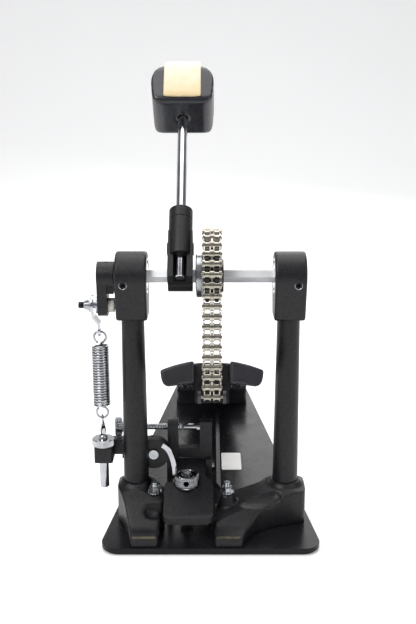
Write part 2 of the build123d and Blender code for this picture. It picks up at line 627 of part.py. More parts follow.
# ------------------------------------------------------------------ beater
def make_beater_holder():
    """Holder clamped on the axle: a split sleeve for the rod above a hub block, open at the front below."""
    x = (BEATER_X - HOLDER_WIDTH / 2, BEATER_X + HOLDER_WIDTH / 2)
    hub = x_rod(x, 0, AXLE_Z, HOLDER_HUB_RADIUS)
    outline = [(-11.0, 5.0), (-11.0, -14.0), (8.0, -26.0), (16.0, -22.0), (30.0, -HOLDER_RADIUS), (30.0, 5.0)]
    cheek = profile_x([beater_point(along, strike=strike)[1:] for along, strike in outline], x)
    sleeve = rod(beater_point(SLEEVE_LOW), beater_point(SLEEVE_HIGH), HOLDER_RADIUS)
    body = hub + cheek + sleeve
    body -= axle_hole((x[0] - 1, x[1] + 1))
    body -= rod(beater_point(-30), beater_point(60), ROD_RADIUS + RUN)
    recess = [(-30.0, -ROD_RADIUS - RUN), (SLEEVE_LOW, -ROD_RADIUS - RUN), (SLEEVE_LOW, 30.0), (-30.0, 30.0)]
    opening = [beater_point(along, strike=strike)[1:] for along, strike in recess]
    body -= profile_x(opening, (BEATER_X - 5.2, BEATER_X + 5.2))
    pad_y, pad_z = beater_point(17.0, strike=-2.0)[1:]
    pads = x_rod((x[0] - 0.8, x[1] + 0.8), pad_y, pad_z, 5.0)
    body += pads - rod(beater_point(-30), beater_point(60), HOLDER_RADIUS - 1.0)
    key_hole_end = beater_point(KEY_BOLT_HEIGHT, strike=-3)
    body -= rod(beater_point(KEY_BOLT_HEIGHT, strike=-12), key_hole_end, 2.0 + RUN)
    body -= rod((BEATER_X, 0, AXLE_Z - 20), (BEATER_X, 0, AXLE_Z - 4), 2.0 + RUN)
    node("beater_holder", body)

    seat = -HOLDER_RADIUS - 0.4
    flange = beater_point(KEY_BOLT_HEIGHT, strike=seat)
    flange_top = beater_point(KEY_BOLT_HEIGHT, strike=seat - 2.4)
    bolt = rod(flange, beater_point(KEY_BOLT_HEIGHT, strike=-ROD_RADIUS - 0.3), 2.0)
    bolt += rod(flange_top, flange, 3.6)
    frame = Plane(origin=flange_top, x_dir=(1, 0, 0), z_dir=-STRIKE_AXIS)
    square = frame * Box(4.8, 4.8, 6.0, align=(Align.CENTER, Align.CENTER, Align.MIN))
    node("beater_key_bolt", bolt + square)
    grub = rod((BEATER_X, 0, AXLE_Z - 12.2), (BEATER_X, 0, AXLE_Z - AXLE_FLATS / 2 - 0.9), 2.0)
    AXLE_SCREWS.append(grub - hex_bar((BEATER_X, 0, AXLE_Z - 13), (BEATER_X, 0, AXLE_Z - 9.5), 2.2))


def make_beater():
    """Memory lock, rod, head and felt, all on the leaning rod axis."""
    low = SLEEVE_HIGH + GAP
    lock = rod(beater_point(low), beater_point(low + LOCK_HEIGHT), HOLDER_RADIUS)
    lock = fillet(lock.edges().filter_by(GeomType.CIRCLE), 0.8)
    lock -= rod(beater_point(low - 1), beater_point(low + 20), ROD_RADIUS + RUN)
    middle = low + LOCK_HEIGHT / 2
    lock -= rod(beater_point(middle, strike=-12), beater_point(middle, strike=-3), 1.5 + RUN)
    node("memory_lock", lock)
    grub_end = beater_point(middle, strike=-ROD_RADIUS - 0.1)
    grub = rod(beater_point(middle, strike=-HOLDER_RADIUS + 0.4), grub_end, 1.5)
    socket = hex_bar(beater_point(middle, strike=-10), beater_point(middle, strike=-7.0), 1.6)
    node("memory_lock_screw", grub - socket)

    rod_top = HEAD_CENTRE + 6.0
    shaft = rod(beater_point(ROD_LOW), beater_point(rod_top), ROD_RADIUS)
    shaft = chamfer(shaft.edges().filter_by(GeomType.CIRCLE), 0.7)
    node("beater_rod", shaft)

    place = Plane(origin=beater_point(HEAD_CENTRE), x_dir=(1, 0, 0), z_dir=BEATER_AXIS)
    half_w, half_h, half_d = HEAD_WIDTH / 2, HEAD_HEIGHT / 2, HEAD_DEPTH / 2
    arch = EllipticalCenterArc((0, 0), half_w, half_h, 0, arc_size=180)
    sides = Polyline((-half_w, 0), (-half_w + 2.0, -half_h), (half_w - 2.0, -half_h), (half_w, 0))
    front_face = make_face(Plane.XZ * (arch + sides))
    front_face = fillet(front_face.vertices().group_by(Axis.Z)[0], 9.0)
    front = extrude(front_face, half_d, both=True)
    side_face = head_side(0.0)
    side = extrude(side_face, HEAD_WIDTH, both=True)
    head = front & side
    head -= Pos(0, 0, -half_h) * Cylinder(ROD_RADIUS + RUN, 2 * (half_h + 6.4))
    node("beater_head", place * head)

    felt = extrude(head_side(FELT_THICK) - head_side(0.0), FELT_WIDTH / 2, both=True)
    reach = half_d + FELT_THICK + 1
    felt &= block((-FELT_WIDTH, FELT_WIDTH), (-reach, -4.0), (-half_h + 4.0, half_h + FELT_THICK + 1))
    node("beater_felt", place * felt)


def head_side(grow):
    """The head's side view in the YZ plane: strike face at -Y, rounder at the top."""
    half_h, half_d = HEAD_HEIGHT / 2 + grow, HEAD_DEPTH / 2 + grow
    corners = [(0, -half_d, -half_h), (0, half_d, -half_h), (0, half_d, half_h), (0, -half_d, half_h)]
    face = make_face(Polyline(*corners, close=True))
    top = face.vertices().group_by(Axis.Z)[-1]
    face = fillet(top, 14.0 + grow)
    return fillet(face.vertices().group_by(Axis.Z)[0], 5.0 + grow)


# ------------------------------------------------------------------ spring side
def make_rocker():
    """Rocker on the axle's end with the pivot bolt, nut, washers and the spring hanger."""
    pivot_z = AXLE_Z - ROCKER_PIVOT
    hub_x = (ROCKER_LEFT, ROCKER_RIGHT)
    leg_x = (ROCKER_LEFT, ROCKER_LEFT + 7.6)
    hub = x_rod(hub_x, 0, AXLE_Z, ROCKER_RADIUS)
    leg = x_rod(leg_x, 0, pivot_z, 8.6)
    leg += profile_x([(-9.6, AXLE_Z - 5), (-8.4, pivot_z), (8.4, pivot_z), (9.6, AXLE_Z - 5)], leg_x)
    boss = profile_x([(-8.0, AXLE_Z), (-8.0, AXLE_Z - 13), (8.0, AXLE_Z - 13), (8.0, AXLE_Z)], hub_x)
    body = hub + leg + boss
    body -= hex_bar((ROCKER_LEFT + 1.5, 0, AXLE_Z), (ROCKER_RIGHT + 1, 0, AXLE_Z), AXLE_FLATS + 2 * RUN, 30.0)
    body -= x_rod((ROCKER_LEFT - 1, ROCKER_RIGHT + 1), 0, pivot_z, PIVOT_RADIUS + RUN)
    screw_x = ROCKER_LEFT + 7.0
    body -= rod((screw_x, 0, AXLE_Z + 4), (screw_x, 0, AXLE_Z + 14), 2.0 + RUN)
    node("spring_rocker", body)
    grub = rod((screw_x, 0, AXLE_Z + AXLE_FLATS / 2 + 0.9), (screw_x, 0, AXLE_Z + ROCKER_RADIUS - 0.5), 2.0)
    grub -= hex_bar((screw_x, 0, AXLE_Z + ROCKER_RADIUS - 3), (screw_x, 0, AXLE_Z + ROCKER_RADIUS), 2.2)
    AXLE_SCREWS.append(grub)
    node("axle_set_screws", *AXLE_SCREWS)

    head_x = (leg_x[1], ROCKER_RIGHT - 0.3)
    head = chamfer(x_rod(head_x, 0, pivot_z, 5.4).edges().filter_by(GeomType.CIRCLE), 0.6)
    bolt = head + x_rod((PIVOT_TIP, leg_x[1]), 0, pivot_z, PIVOT_RADIUS - 0.1)
    node("pivot_bolt", bolt)
    washer = x_rod((ROCKER_LEFT - 1.6, ROCKER_LEFT), 0, pivot_z, 6.5)
    outer_washer = x_rod((-95.4, -93.9), 0, pivot_z, 5.6)
    hole = x_rod((-110, -70), 0, pivot_z, PIVOT_RADIUS)
    cone = rod((-95.4, 0, pivot_z), (-99.6, 0, pivot_z), 4.6, 3.2)
    node("pivot_nut_and_washers", washer - hole, outer_washer - hole, cone - hole)


def make_hanger():
    """Bent strap that hangs from the pivot bolt and takes the spring's upper loop."""
    pivot_z = AXLE_Z - ROCKER_PIVOT
    eye = 8.2
    outline = x_rod((-100, -80), 0, pivot_z, eye)
    taper = [(-5.6, pivot_z - 5.9), (-3.6, HANGER_EYE_Z), (3.6, HANGER_EYE_Z), (5.6, pivot_z - 5.9)]
    outline += profile_x(taper, (-100, -80))
    outline += x_rod((-100, -80), 0, HANGER_EYE_Z, 4.4)
    bend = [
        (-93.6, pivot_z + 12), (-93.6, 178.0), (-89.0, 172.0), (-89.0, 160.0),
        (-87.0, 160.0), (-87.0, 173.0), (-91.6, 179.0), (-91.6, pivot_z + 12),
    ]
    strap = make_face(Polyline(*[(x, -12, z) for x, z in bend], close=True))
    strap = extrude(strap, 24, dir=(0, 1, 0)) & outline
    strap -= x_rod((-100, -80), 0, pivot_z, PIVOT_RADIUS + RUN)
    strap -= x_rod((-100, -80), 0, HANGER_EYE_Z, HANGER_EYE_RADIUS)
    node("spring_hanger", strap)


def make_spring():
    """Extension spring: a close wound body with a lower loop, and its upper loop as a separate moving end."""
    pitch = (SPRING_HIGH - SPRING_LOW) / SPRING_TURNS
    coil = Pos(SPRING_X, 0, SPRING_LOW) * Helix(pitch, SPRING_HIGH - SPRING_LOW, SPRING_RADIUS)
    start = coil @ 0
    section = Plane(origin=start, z_dir=coil % 0) * Circle(SPRING_WIRE / 2)
    body = sweep(section, path=coil, is_frenet=True)
    lower_ring = ring_eye((SPRING_X, 0, LOWER_LOOP_Z), LOWER_LOOP_RADIUS, SPRING_WIRE, (1, 0, 0))
    upper_ring = ring_eye((SPRING_X, 0, UPPER_LOOP_Z), UPPER_LOOP_RADIUS, SPRING_WIRE, (0, 1, 0))
    reach = SPRING_RADIUS + SPRING_WIRE / 2
    low_z = LOWER_LOOP_Z + LOWER_LOOP_RADIUS - BAR_EXTRA
    high_z = UPPER_LOOP_Z - UPPER_LOOP_RADIUS + BAR_EXTRA
    bar_radius = SPRING_WIRE / 2 + BAR_EXTRA
    lower_bar = x_rod((SPRING_X - reach, SPRING_X + reach), 0, low_z, bar_radius)
    upper_bar = rod((SPRING_X, -reach, high_z), (SPRING_X, reach, high_z), bar_radius)
    node("return_spring", body, lower_ring + lower_bar)
    node("spring_top_loop", upper_ring + upper_bar)


def make_spring_arm():
    """Arm saddled on the left post, with the boss that clamps it and the bore for the adjuster."""
    bar = block((-95.0, ARM_BOSS_X), (ARM_BACK - ARM_THICK, ARM_BACK), (ARM_LOW, ARM_HIGH))
    saddle = block((-POST_X - 11.5, -POST_X + 11.5), (2.0, ARM_BACK), (ARM_LOW, ARM_HIGH))
    pad = block((-95.0, -80.0), (-8.0, ARM_BACK), (ARM_LOW, ARM_HIGH))
    pad = fillet(pad.edges().filter_by(Axis.Z), 2.0)
    boss_ends = [(ARM_BOSS_X, y, ARM_BOSS_Z) for y in ARM_BOSS_Y]
    boss = rod(*boss_ends, ARM_BOSS_RADIUS)
    arm = bar + saddle + pad + boss
    low, high = post_radius(ARM_LOW - 10) + RUN, post_radius(ARM_HIGH + 10) + RUN
    arm -= rod((-POST_X, 0, ARM_LOW - 10), (-POST_X, 0, ARM_HIGH + 10), low, high)
    arm -= rod((SPRING_X, 0, ARM_LOW - 1), (SPRING_X, 0, ARM_HIGH + 1), ROD_SLEEVE_RADIUS + RUN)
    arm -= rod((ARM_BOSS_X, 0, ARM_BOSS_Z), (ARM_BOSS_X, 30, ARM_BOSS_Z), 3.0 + RUN)
    screws = []
    for x in (-POST_X - 4.5, -POST_X + 4.5):
        centre_z = (ARM_LOW + ARM_HIGH) / 2
        arm -= rod((x, 5, centre_z), (x, 30, centre_z), 1.6 + RUN)
        shank = rod((x, 10.5, centre_z), (x, ARM_BACK, centre_z), 1.6)
        head = rod((x, ARM_BACK, centre_z), (x, ARM_BACK + 2.2, centre_z), 3.0)
        head -= hex_bar((x, ARM_BACK + 0.8, centre_z), (x, ARM_BACK + 3, centre_z), 2.0)
        screws.append(shank + head)
    node("spring_arm", arm)
    node("spring_arm_screws", *screws)
    front = ARM_BOSS_Y[0]
    bolt = rod((ARM_BOSS_X, front - 2.4, ARM_BOSS_Z), (ARM_BOSS_X, ARM_BACK + 1, ARM_BOSS_Z), 3.0)
    bolt += rod((ARM_BOSS_X, front - 2.4, ARM_BOSS_Z), (ARM_BOSS_X, front, ARM_BOSS_Z), 4.0)
    bolt += hex_bar((ARM_BOSS_X, ARM_BACK, ARM_BOSS_Z), (ARM_BOSS_X, ARM_BACK + 3.6, ARM_BOSS_Z), 9.0)
    node("arm_boss_bolt", bolt)


def make_adjuster():
    """Adjuster rod with a hooked flat top, and its round nut on the arm."""
    sleeve = rod((SPRING_X, 0, ROD_SLEEVE_LOW), (SPRING_X, 0, ROD_SLEEVE_TOP), ROD_SLEEVE_RADIUS)
    sleeve = chamfer(sleeve.edges().filter_by(GeomType.CIRCLE), 0.6)
    flat = block((SPRING_X - 2.0, SPRING_X + 2.0), (-1.3, 1.3), (ROD_SLEEVE_TOP - 1, HOOK_Z - HOOK_RADIUS))
    hook = ring_eye((SPRING_X, 0, HOOK_Z), HOOK_RADIUS, HOOK_WIRE, (0, 1, 0))
    node("spring_adjust_rod", sleeve + flat + hook)
    hole = Cylinder(ROD_SLEEVE_RADIUS + RUN, 40)
    disc = knurled(NUT_RADIUS, NUT_THICK, 48, 0.35)
    node("spring_adjust_nut", Pos(SPRING_X, 0, ARM_HIGH + 0.05) * (disc - hole))


# ------------------------------------------------------------------ hoop clamp
def make_clamp():
    """Jaw on a pivot between two ears, its pad, knurled nut, bolt, hooked lever, boss and wing bolt."""
    pivot_y, pivot_z = JAW_PIVOT
    half, neck = JAW_WIDTH / 2, JAW_NECK / 2
    points = [
        (JAW_X - half, JAW_FRONT), (JAW_X + half, JAW_FRONT), (JAW_X + half, -14.0), (JAW_X + neck, -6.0),
        (JAW_X + neck, pivot_y + 8), (JAW_X - neck, pivot_y + 8), (JAW_X - neck, -6.0), (JAW_X - half, -14.0),
    ]
    top_view = plan(points, (0, 60), {0: JAW_CORNER, 1: JAW_CORNER, 2: 5.0, 3: 4.0, 6: 4.0, 7: 5.0})
    side = [
        (JAW_FRONT, 21.5), (JAW_FRONT, 25.5), (JAW_FRONT + 1.5, 27.0), (-24.0, 35.0), (-9.0, 43.0),
        (0.0, 47.0), (pivot_y, 50.0), (pivot_y + 6, 47.5), (pivot_y + 6.5, 41.0), (pivot_y, 37.5),
        (-4.0, 31.0), (-26.0, 25.5),
    ]
    jaw = top_view & profile_x(side, (JAW_X - half, JAW_X + half))
    jaw -= rod((CLAMP_NUT_X, CLAMP_NUT_Y, 38.3), (CLAMP_NUT_X, CLAMP_NUT_Y, 70), CLAMP_NUT_RADIUS + 0.6)
    jaw -= block((-40.0, -24.0), (-12.0, -2.8), (38.3, 70.0))
    jaw -= upright_hole(CLAMP_NUT_X, CLAMP_NUT_Y, (0, 60), CLAMP_BOLT_RADIUS + 0.1)
    jaw -= x_rod((JAW_X - half, JAW_X + half), pivot_y, pivot_z, 3.0 + RUN)
    node("clamp_jaw", jaw)
    pad_side = [(JAW_FRONT + 1.0, 19.7), (JAW_FRONT + 1.0, 21.4), (-28.0, 24.95), (-28.0, 23.2)]
    node("jaw_pad", profile_x(pad_side, (JAW_X - half + 4, JAW_X + half - 4)))

    nut_top = CLAMP_NUT_LOW + CLAMP_NUT_HEIGHT
    nut = knurled(CLAMP_NUT_RADIUS, CLAMP_NUT_HEIGHT, 44, 0.35)
    nut -= Pos(0, 0, CLAMP_NUT_HEIGHT - 2.0) * Cylinder(7.4, 6, align=(Align.CENTER, Align.CENTER, Align.MIN))
    nut -= Cylinder(CLAMP_BOLT_RADIUS + RUN, 60)
    nut -= rod((0, 0, 4.5), (0, -20, 4.5), 2.0)
    node("clamp_nut", Pos(CLAMP_NUT_X, CLAMP_NUT_Y, CLAMP_NUT_LOW) * nut)
    bolt = rod((CLAMP_NUT_X, CLAMP_NUT_Y, 12.0), (CLAMP_NUT_X, CLAMP_NUT_Y, nut_top - 1.7), CLAMP_BOLT_RADIUS)
    bolt += rod((CLAMP_NUT_X, CLAMP_NUT_Y, nut_top - 1.7), (CLAMP_NUT_X, CLAMP_NUT_Y, nut_top), 4.6, 4.2)
    head_low = (CLAMP_NUT_X, CLAMP_NUT_Y, nut_top)
    bolt += hex_bar(head_low, (CLAMP_NUT_X, CLAMP_NUT_Y, nut_top + 2.4), 6.4)
    bolt += rod((CLAMP_NUT_X, CLAMP_NUT_Y, 12.0), (CLAMP_NUT_X, CLAMP_NUT_Y, 14.5), 5.5)
    node("clamp_bolt", bolt)

    neck_x = (JAW_X - neck, JAW_X + neck)
    pin_x = (neck_x[0] - GAP - EAR_THICK, neck_x[1] + GAP + EAR_THICK)
    pivot_pin = x_rod((pin_x[0], pin_x[1] + 1.5), pivot_y, pivot_z, 3.0)
    pivot_pin += x_rod((pin_x[1], pin_x[1] + 2.0), pivot_y, pivot_z, 4.6)
    node("jaw_pivot_pin", pivot_pin)

    lever_y = (-5.4, -3.6)
    strap_curve = Spline([(-29.5, LEVER_LOW), (-29.6, 49.0), (-31.6, 59.0), (-35.0, 66.5), (-39.5, 70.5)])
    strap = extrude(Plane.XZ * trace(strap_curve, 3.8), (lever_y[1] - lever_y[0]) / 2, both=True)
    lever = Pos(0, (lever_y[0] + lever_y[1]) / 2, 0) * strap
    lever &= block((-60, 0), (-30, 10), (LEVER_LOW, 90))
    foot = rod((CLAMP_NUT_X, CLAMP_NUT_Y, LEVER_LOW), (CLAMP_NUT_X, CLAMP_NUT_Y, LEVER_HIGH), 9.0)
    foot += block((-31.4, -24.0), (-10.0, lever_y[1]), (LEVER_LOW, LEVER_HIGH))
    foot -= upright_hole(CLAMP_NUT_X, CLAMP_NUT_Y, (30, 45), CLAMP_BOLT_RADIUS + 0.1)
    node("clamp_lever", lever + foot)

    ears = []
    for x in ((neck_x[0] - GAP - EAR_THICK, neck_x[0] - GAP), (neck_x[1] + GAP, neck_x[1] + GAP + EAR_THICK)):
        side = [(4.0, PLATE_TOP), (8.0, 52.0), (24.0, 52.0), (28.0, PLATE_TOP)]
        ears.append(profile_x(side, x))
    sole = block((neck_x[0] - GAP - 1, neck_x[1] + GAP + 1), (18.0, 34.0), (PLATE_TOP, PLATE_TOP + 4.0))
    bracket = sole + ears - x_rod((-60, 20), pivot_y, pivot_z, 3.0 + RUN)
    bracket -= [upright_hole(x, y, (0, 9.6), FOOT_BOLT_RADIUS + RUN) for x, y in CLAMP_SCREWS]
    boss = block(BOSS_X, (11.5, 23.5), (50.0, BOSS_TOP))
    boss = fillet(boss.edges().filter_by(Axis.X).group_by(Axis.Z)[-1], 5.0)
    boss -= x_rod((-60, 20), WING_BOLT_Y, WING_BOLT_Z, WING_BOLT_RADIUS + RUN)
    bridge = block((BOSS_X[1] - 1, neck_x[1] + GAP + EAR_THICK), (12.5, 21.5), (52.0, 60.0))
    post = block((-9.0, neck_x[1] + GAP + EAR_THICK), (12.5, 21.5), (50.0, BOSS_TOP - 1.5))
    boss = boss + bridge + post - x_rod((-12, 0), WING_BOLT_Y, WING_BOLT_Z, 2.5 + RUN)
    node("clamp_bracket", bracket + boss)
    stop = x_rod((-22.5, -2.0), WING_BOLT_Y, WING_BOLT_Z, 2.5)
    stop += x_rod((-11.5, -9.05), WING_BOLT_Y, WING_BOLT_Z, 4.5)
    node("clamp_stop_pin", stop)

    shank = x_rod((WING_BOLT_LEFT, WING_BOLT_TIP), WING_BOLT_Y, WING_BOLT_Z, WING_BOLT_RADIUS)
    shank = chamfer(shank.edges().filter_by(GeomType.CIRCLE), 0.8)
    hub = x_rod((WING_BOLT_LEFT - 1.0, WING_BOLT_LEFT + 5.0), WING_BOLT_Y, WING_BOLT_Z, 4.4)
    wings = block(
        (WING_BOLT_LEFT - 2.0, WING_BOLT_LEFT + 4.0),
        (WING_BOLT_Y - 1.1, WING_BOLT_Y + 1.1),
        (WING_BOLT_Z - WING_SPAN, WING_BOLT_Z + WING_SPAN),
    )
    wings = fillet(wings.edges().filter_by(Axis.Y), 2.4)
    node("wing_bolt", shank + hub + wings)


# ------------------------------------------------------------------ footboard and heel
BOARD = Plane(
    origin=(BOARD_X, HINGE_Y, HINGE_Z),
    x_dir=(1, 0, 0),
    z_dir=(0, SLOPE_SIN, SLOPE_COS),
)
BOARD_RISE = KNUCKLE_RADIUS  # the tread stands this far above the hinge axis


def arch_face(half, crown, depth, side_drop, y):
    """A lateral section of the board, arched on top, at a station along it."""
    top = ThreePointArc((-half, y, -crown), (0, y, 0), (half, y, -crown))
    right = Line((half, y, -crown), (half, y, -crown - side_drop))
    bottom = ThreePointArc((half, y, -crown - side_drop), (0, y, -depth), (-half, y, -crown - side_drop))
    left = Line((-half, y, -crown - side_drop), (-half, y, -crown))
    return make_face(top + right + bottom + left)


def make_footboard():
    """Cast board: flat tread with side flanges, crowned winged toe with a notch for the chain."""
    front = -BOARD_LENGTH
    blend = front + WING_LENGTH
    toe_block = loft([
        arch_face(WING_HALF, WING_CROWN, WING_DEPTH + 3.0, WING_DEPTH, front),
        arch_face(WING_HALF, WING_CROWN * 0.8, WING_DEPTH + 2.0, WING_DEPTH - 1.0, front + 26.0),
        arch_face(BOARD_HALF + 1.0, 1.0, 9.0, 9.0, blend),
    ])
    plate_points = [(-BOARD_HALF, blend - 4), (BOARD_HALF, blend - 4), (BOARD_HALF, -40)]
    plate_points.append((KNUCKLE_HALF + 4, -9))
    plate_points += [(-x, y) for x, y in reversed(plate_points[2:])]
    tread = Pos(0, 0, -BOARD_THICK) * plan(plate_points, (0, BOARD_THICK), {2: 12.0, 3: 3.0, 4: 3.0, 5: 12.0})
    flanges = []
    for side in (-1, 1):
        x = (side * BOARD_HALF, side * (BOARD_HALF - FLANGE_THICK))
        flanges.append(block((min(x), max(x)), (blend - 4, -42), (-FLANGE_DEPTH, 0)))
    spine = block((-4, 4), (blend - 4, -9), (-FLANGE_DEPTH, -BOARD_THICK + 0.5))
    rib_x = (-BOARD_HALF + 1, BOARD_HALF - 1)
    ribs = [block(rib_x, (y - 2, y + 2), (-FLANGE_DEPTH + 1, -1)) for y in (-205, -150, -95)]
    shape = toe_block + tread + spine + ribs + flanges
    notch = block((-NOTCH_HALF, NOTCH_HALF), (front - 5, front + NOTCH_LENGTH), (-40, 20))
    pocket_y = (front + NOTCH_LENGTH + 5, blend - 6)
    pocket = block((-WING_HALF + 7, WING_HALF - 7), pocket_y, (-40, -WING_CROWN * 0.5 - 5))
    shape -= notch
    shape -= pocket
    slots = []
    for row in range(9):
        y = -60 - 22 * row
        for x in (-19, 19):
            slots.append(Pos(x, y, 0) * extrude(SlotOverall(13, 4, rotation=90), 8, both=True))
    shape -= slots
    grips = [Pos(0, -49 - 22 * row, 0) * block((-24, 24), (-1.6, 1.6), (-1, 1.2)) for row in range(10)]
    shape = Pos(0, 0, BOARD_RISE) * (shape + grips)
    knuckle = x_rod((-KNUCKLE_HALF, KNUCKLE_HALF), 0, 0, KNUCKLE_RADIUS)
    knuckle += block((-KNUCKLE_HALF, KNUCKLE_HALF), (-14, 0), (BOARD_RISE - BOARD_THICK, BOARD_RISE))
    shape = shape + knuckle - x_rod((-60, 60), 0, 0, HINGE_PIN_RADIUS + RUN)
    node("footboard", BOARD * shape)


def make_clevis():
    """Clevis in the footboard's notch: slotted ears for the chain's last pin, and its two screws."""
    pin_y, pin_z = -PITCH_RADIUS, CHAIN_ANCHOR_Z
    local_front = -BOARD_LENGTH + NOTCH_LENGTH
    plate_x = (-NOTCH_HALF + 0.3, NOTCH_HALF - 0.3)
    plate = BOARD * block(plate_x, (local_front - 3.0, local_front), (-26.0, 3.0))
    ear_front = pin_y - 4.8
    wall = BOARD * block((-20, 20), (local_front, local_front + 60), (-60, 60))
    ears = []
    for side in (-1, 1):
        x = (CHAIN_X + side * (CHAIN_HALF_WIDTH + 0.6), CHAIN_X + side * (CHAIN_HALF_WIDTH + 3.1))
        ear = block((min(x), max(x)), (ear_front, 0), (pin_z - 5.0, pin_z + 5.5))
        ear = fillet(ear.edges().filter_by(Axis.X).group_by(Axis.Y)[0], 3.5)
        ears.append(ear - wall)
    slot_y = (pin_y - CLEVIS_SLOT_HALF, pin_y + CLEVIS_SLOT_HALF)
    slot_half_z = PIN_RADIUS + CLEVIS_PLAY
    slot = block((CHAIN_X - 20, CHAIN_X + 20), slot_y, (pin_z - slot_half_z, pin_z + slot_half_z))
    screws = []
    holes = []
    for x in (-5.0, 5.0):
        start = BOARD.from_local_coords(Vector(x, local_front - 3.0, BOARD_RISE - 6))
        end = BOARD.from_local_coords(Vector(x, local_front + 4.5, BOARD_RISE - 6))
        head = BOARD.from_local_coords(Vector(x, local_front - 5.2, BOARD_RISE - 6))
        hole_end = BOARD.from_local_coords(Vector(x, local_front + 5.0, BOARD_RISE - 6))
        holes.append(rod(tuple(start), tuple(hole_end), 1.5 + RUN))
        screws.append(rod(tuple(start), tuple(end), 1.5) + rod(tuple(head), tuple(start), 2.9))
    node("chain_clevis", plate + ears - slot - holes)
    node("clevis_screws", *screws)
    NODES["footboard"] = (Part() + NODES["footboard"] - holes).solids()


def make_heel():
    """Heel casting screwed to the base, with the two outer knuckles, hinge pin and treads."""
    x = (BOARD_X - HEEL_HALF, BOARD_X + HEEL_HALF)
    side = [
        (HEEL_FRONT, PLATE_TOP), (HEEL_FRONT, HEEL_FRONT_TOP), (HEEL_REAR, HEEL_REAR_TOP),
        (HEEL_REAR, PLATE_TOP),
    ]
    body = profile_x(side, x)
    body = fillet(body.edges().filter_by(Axis.Z), 3.0)
    outer = []
    inner = KNUCKLE_HALF + GAP
    for limits in ((x[0] + 1.5, BOARD_X - inner), (BOARD_X + inner, x[1] - 1.5)):
        outer.append(x_rod(limits, HINGE_Y, HINGE_Z, KNUCKLE_RADIUS))
        web_z = (HINGE_Z - KNUCKLE_RADIUS + 1.5, HINGE_Z + 4.2)
        outer.append(block(limits, (HINGE_Y, HEEL_FRONT + 1), web_z))
    body = body + outer - x_rod((x[0] - 1, x[1] + 1), HINGE_Y, HINGE_Z, HINGE_PIN_RADIUS + RUN)
    screws = []
    for sx, sy in HEEL_SCREWS:
        top = HEEL_FRONT_TOP + (HEEL_REAR_TOP - HEEL_FRONT_TOP) * (sy - HEEL_FRONT) / (HEEL_REAR - HEEL_FRONT)
        body -= upright_hole(sx, sy, (0, 60), FOOT_BOLT_RADIUS + RUN)
        body -= upright_hole(sx, sy, (top - 3.0, 60), 4.8)
        shank = upright_hole(sx, sy, (RUBBER + 0.3, top - 3.0), FOOT_BOLT_RADIUS)
        head = upright_hole(sx, sy, (top - 3.0, top - 0.3), 4.5)
        socket = hex_bar((sx, sy, top - 2.2), (sx, sy, top + 1), 3.0)
        screws.append(shank + head - socket)
    node("heel_plate", body)
    node("heel_screws", *screws)
    pin = x_rod((x[0] + 1.0, x[1] - 1.0), HINGE_Y, HINGE_Z, HINGE_PIN_RADIUS)
    node("hinge_pin", chamfer(pin.edges().filter_by(GeomType.CIRCLE), 0.5))


def build():
    """Make every sub-part."""
    make_base()
    make_feet()
    make_spurs()
    make_posts()
    make_housings()
    make_axle()
    make_sprocket()
    make_chain()
    make_beater_holder()
    make_beater()
    make_rocker()
    make_hanger()
    make_spring()
    make_spring_arm()
    make_adjuster()
    make_clamp()
    make_footboard()
    make_clevis()
    make_heel()


build()
os.makedirs("parts", exist_ok=True)
for name, solids in NODES.items():
    shape = solids[0] if len(solids) == 1 else Compound(children=list(solids))
    shape.label = name
    export_step(shape, f"parts/{name}.step")
    print(name, len(solids), "solids")
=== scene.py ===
"""Bass drum pedal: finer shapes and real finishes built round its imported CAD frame.

Everything is in metres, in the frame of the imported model: the origin is on the floor below the
axle, +X is to the right seen from the drum, +Y runs to the player's heel, +Z is up.
"""

import json
import logging
import math
import random
from dataclasses import dataclass, replace
from enum import Enum
from typing import Any, Callable, Iterable, Optional, Sequence

import bmesh
import bpy
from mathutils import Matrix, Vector

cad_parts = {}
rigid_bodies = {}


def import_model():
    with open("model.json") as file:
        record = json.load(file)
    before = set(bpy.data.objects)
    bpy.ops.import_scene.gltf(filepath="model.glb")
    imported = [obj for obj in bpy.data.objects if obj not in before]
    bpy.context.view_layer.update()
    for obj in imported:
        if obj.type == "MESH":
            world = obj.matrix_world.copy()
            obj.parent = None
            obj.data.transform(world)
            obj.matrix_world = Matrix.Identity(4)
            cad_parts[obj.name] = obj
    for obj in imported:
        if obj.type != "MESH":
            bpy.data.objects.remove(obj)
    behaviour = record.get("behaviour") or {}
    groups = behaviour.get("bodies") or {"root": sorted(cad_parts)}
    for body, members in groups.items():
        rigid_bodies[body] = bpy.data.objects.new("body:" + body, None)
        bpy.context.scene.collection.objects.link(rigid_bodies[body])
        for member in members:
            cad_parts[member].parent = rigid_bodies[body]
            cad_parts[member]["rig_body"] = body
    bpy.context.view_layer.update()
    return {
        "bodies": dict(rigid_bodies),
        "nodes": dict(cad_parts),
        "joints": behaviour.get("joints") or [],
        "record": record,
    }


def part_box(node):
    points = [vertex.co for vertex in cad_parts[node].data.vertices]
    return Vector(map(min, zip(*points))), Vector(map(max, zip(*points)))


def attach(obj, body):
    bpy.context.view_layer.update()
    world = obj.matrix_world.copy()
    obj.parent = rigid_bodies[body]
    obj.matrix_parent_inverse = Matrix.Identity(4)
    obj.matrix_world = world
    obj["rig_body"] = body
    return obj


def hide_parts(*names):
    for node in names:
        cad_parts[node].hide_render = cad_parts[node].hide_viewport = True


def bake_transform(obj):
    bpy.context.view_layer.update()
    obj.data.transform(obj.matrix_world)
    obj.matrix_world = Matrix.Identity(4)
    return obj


LOG = logging.getLogger("drum_pedal")
MM = 0.001  # one millimetre in metres
SEED = 7  # the one seed of every random draw

Ring = list[Vector]
Point = tuple[float, float, float]
Colour = tuple[float, float, float, float]
Inputs = dict[Any, Any]


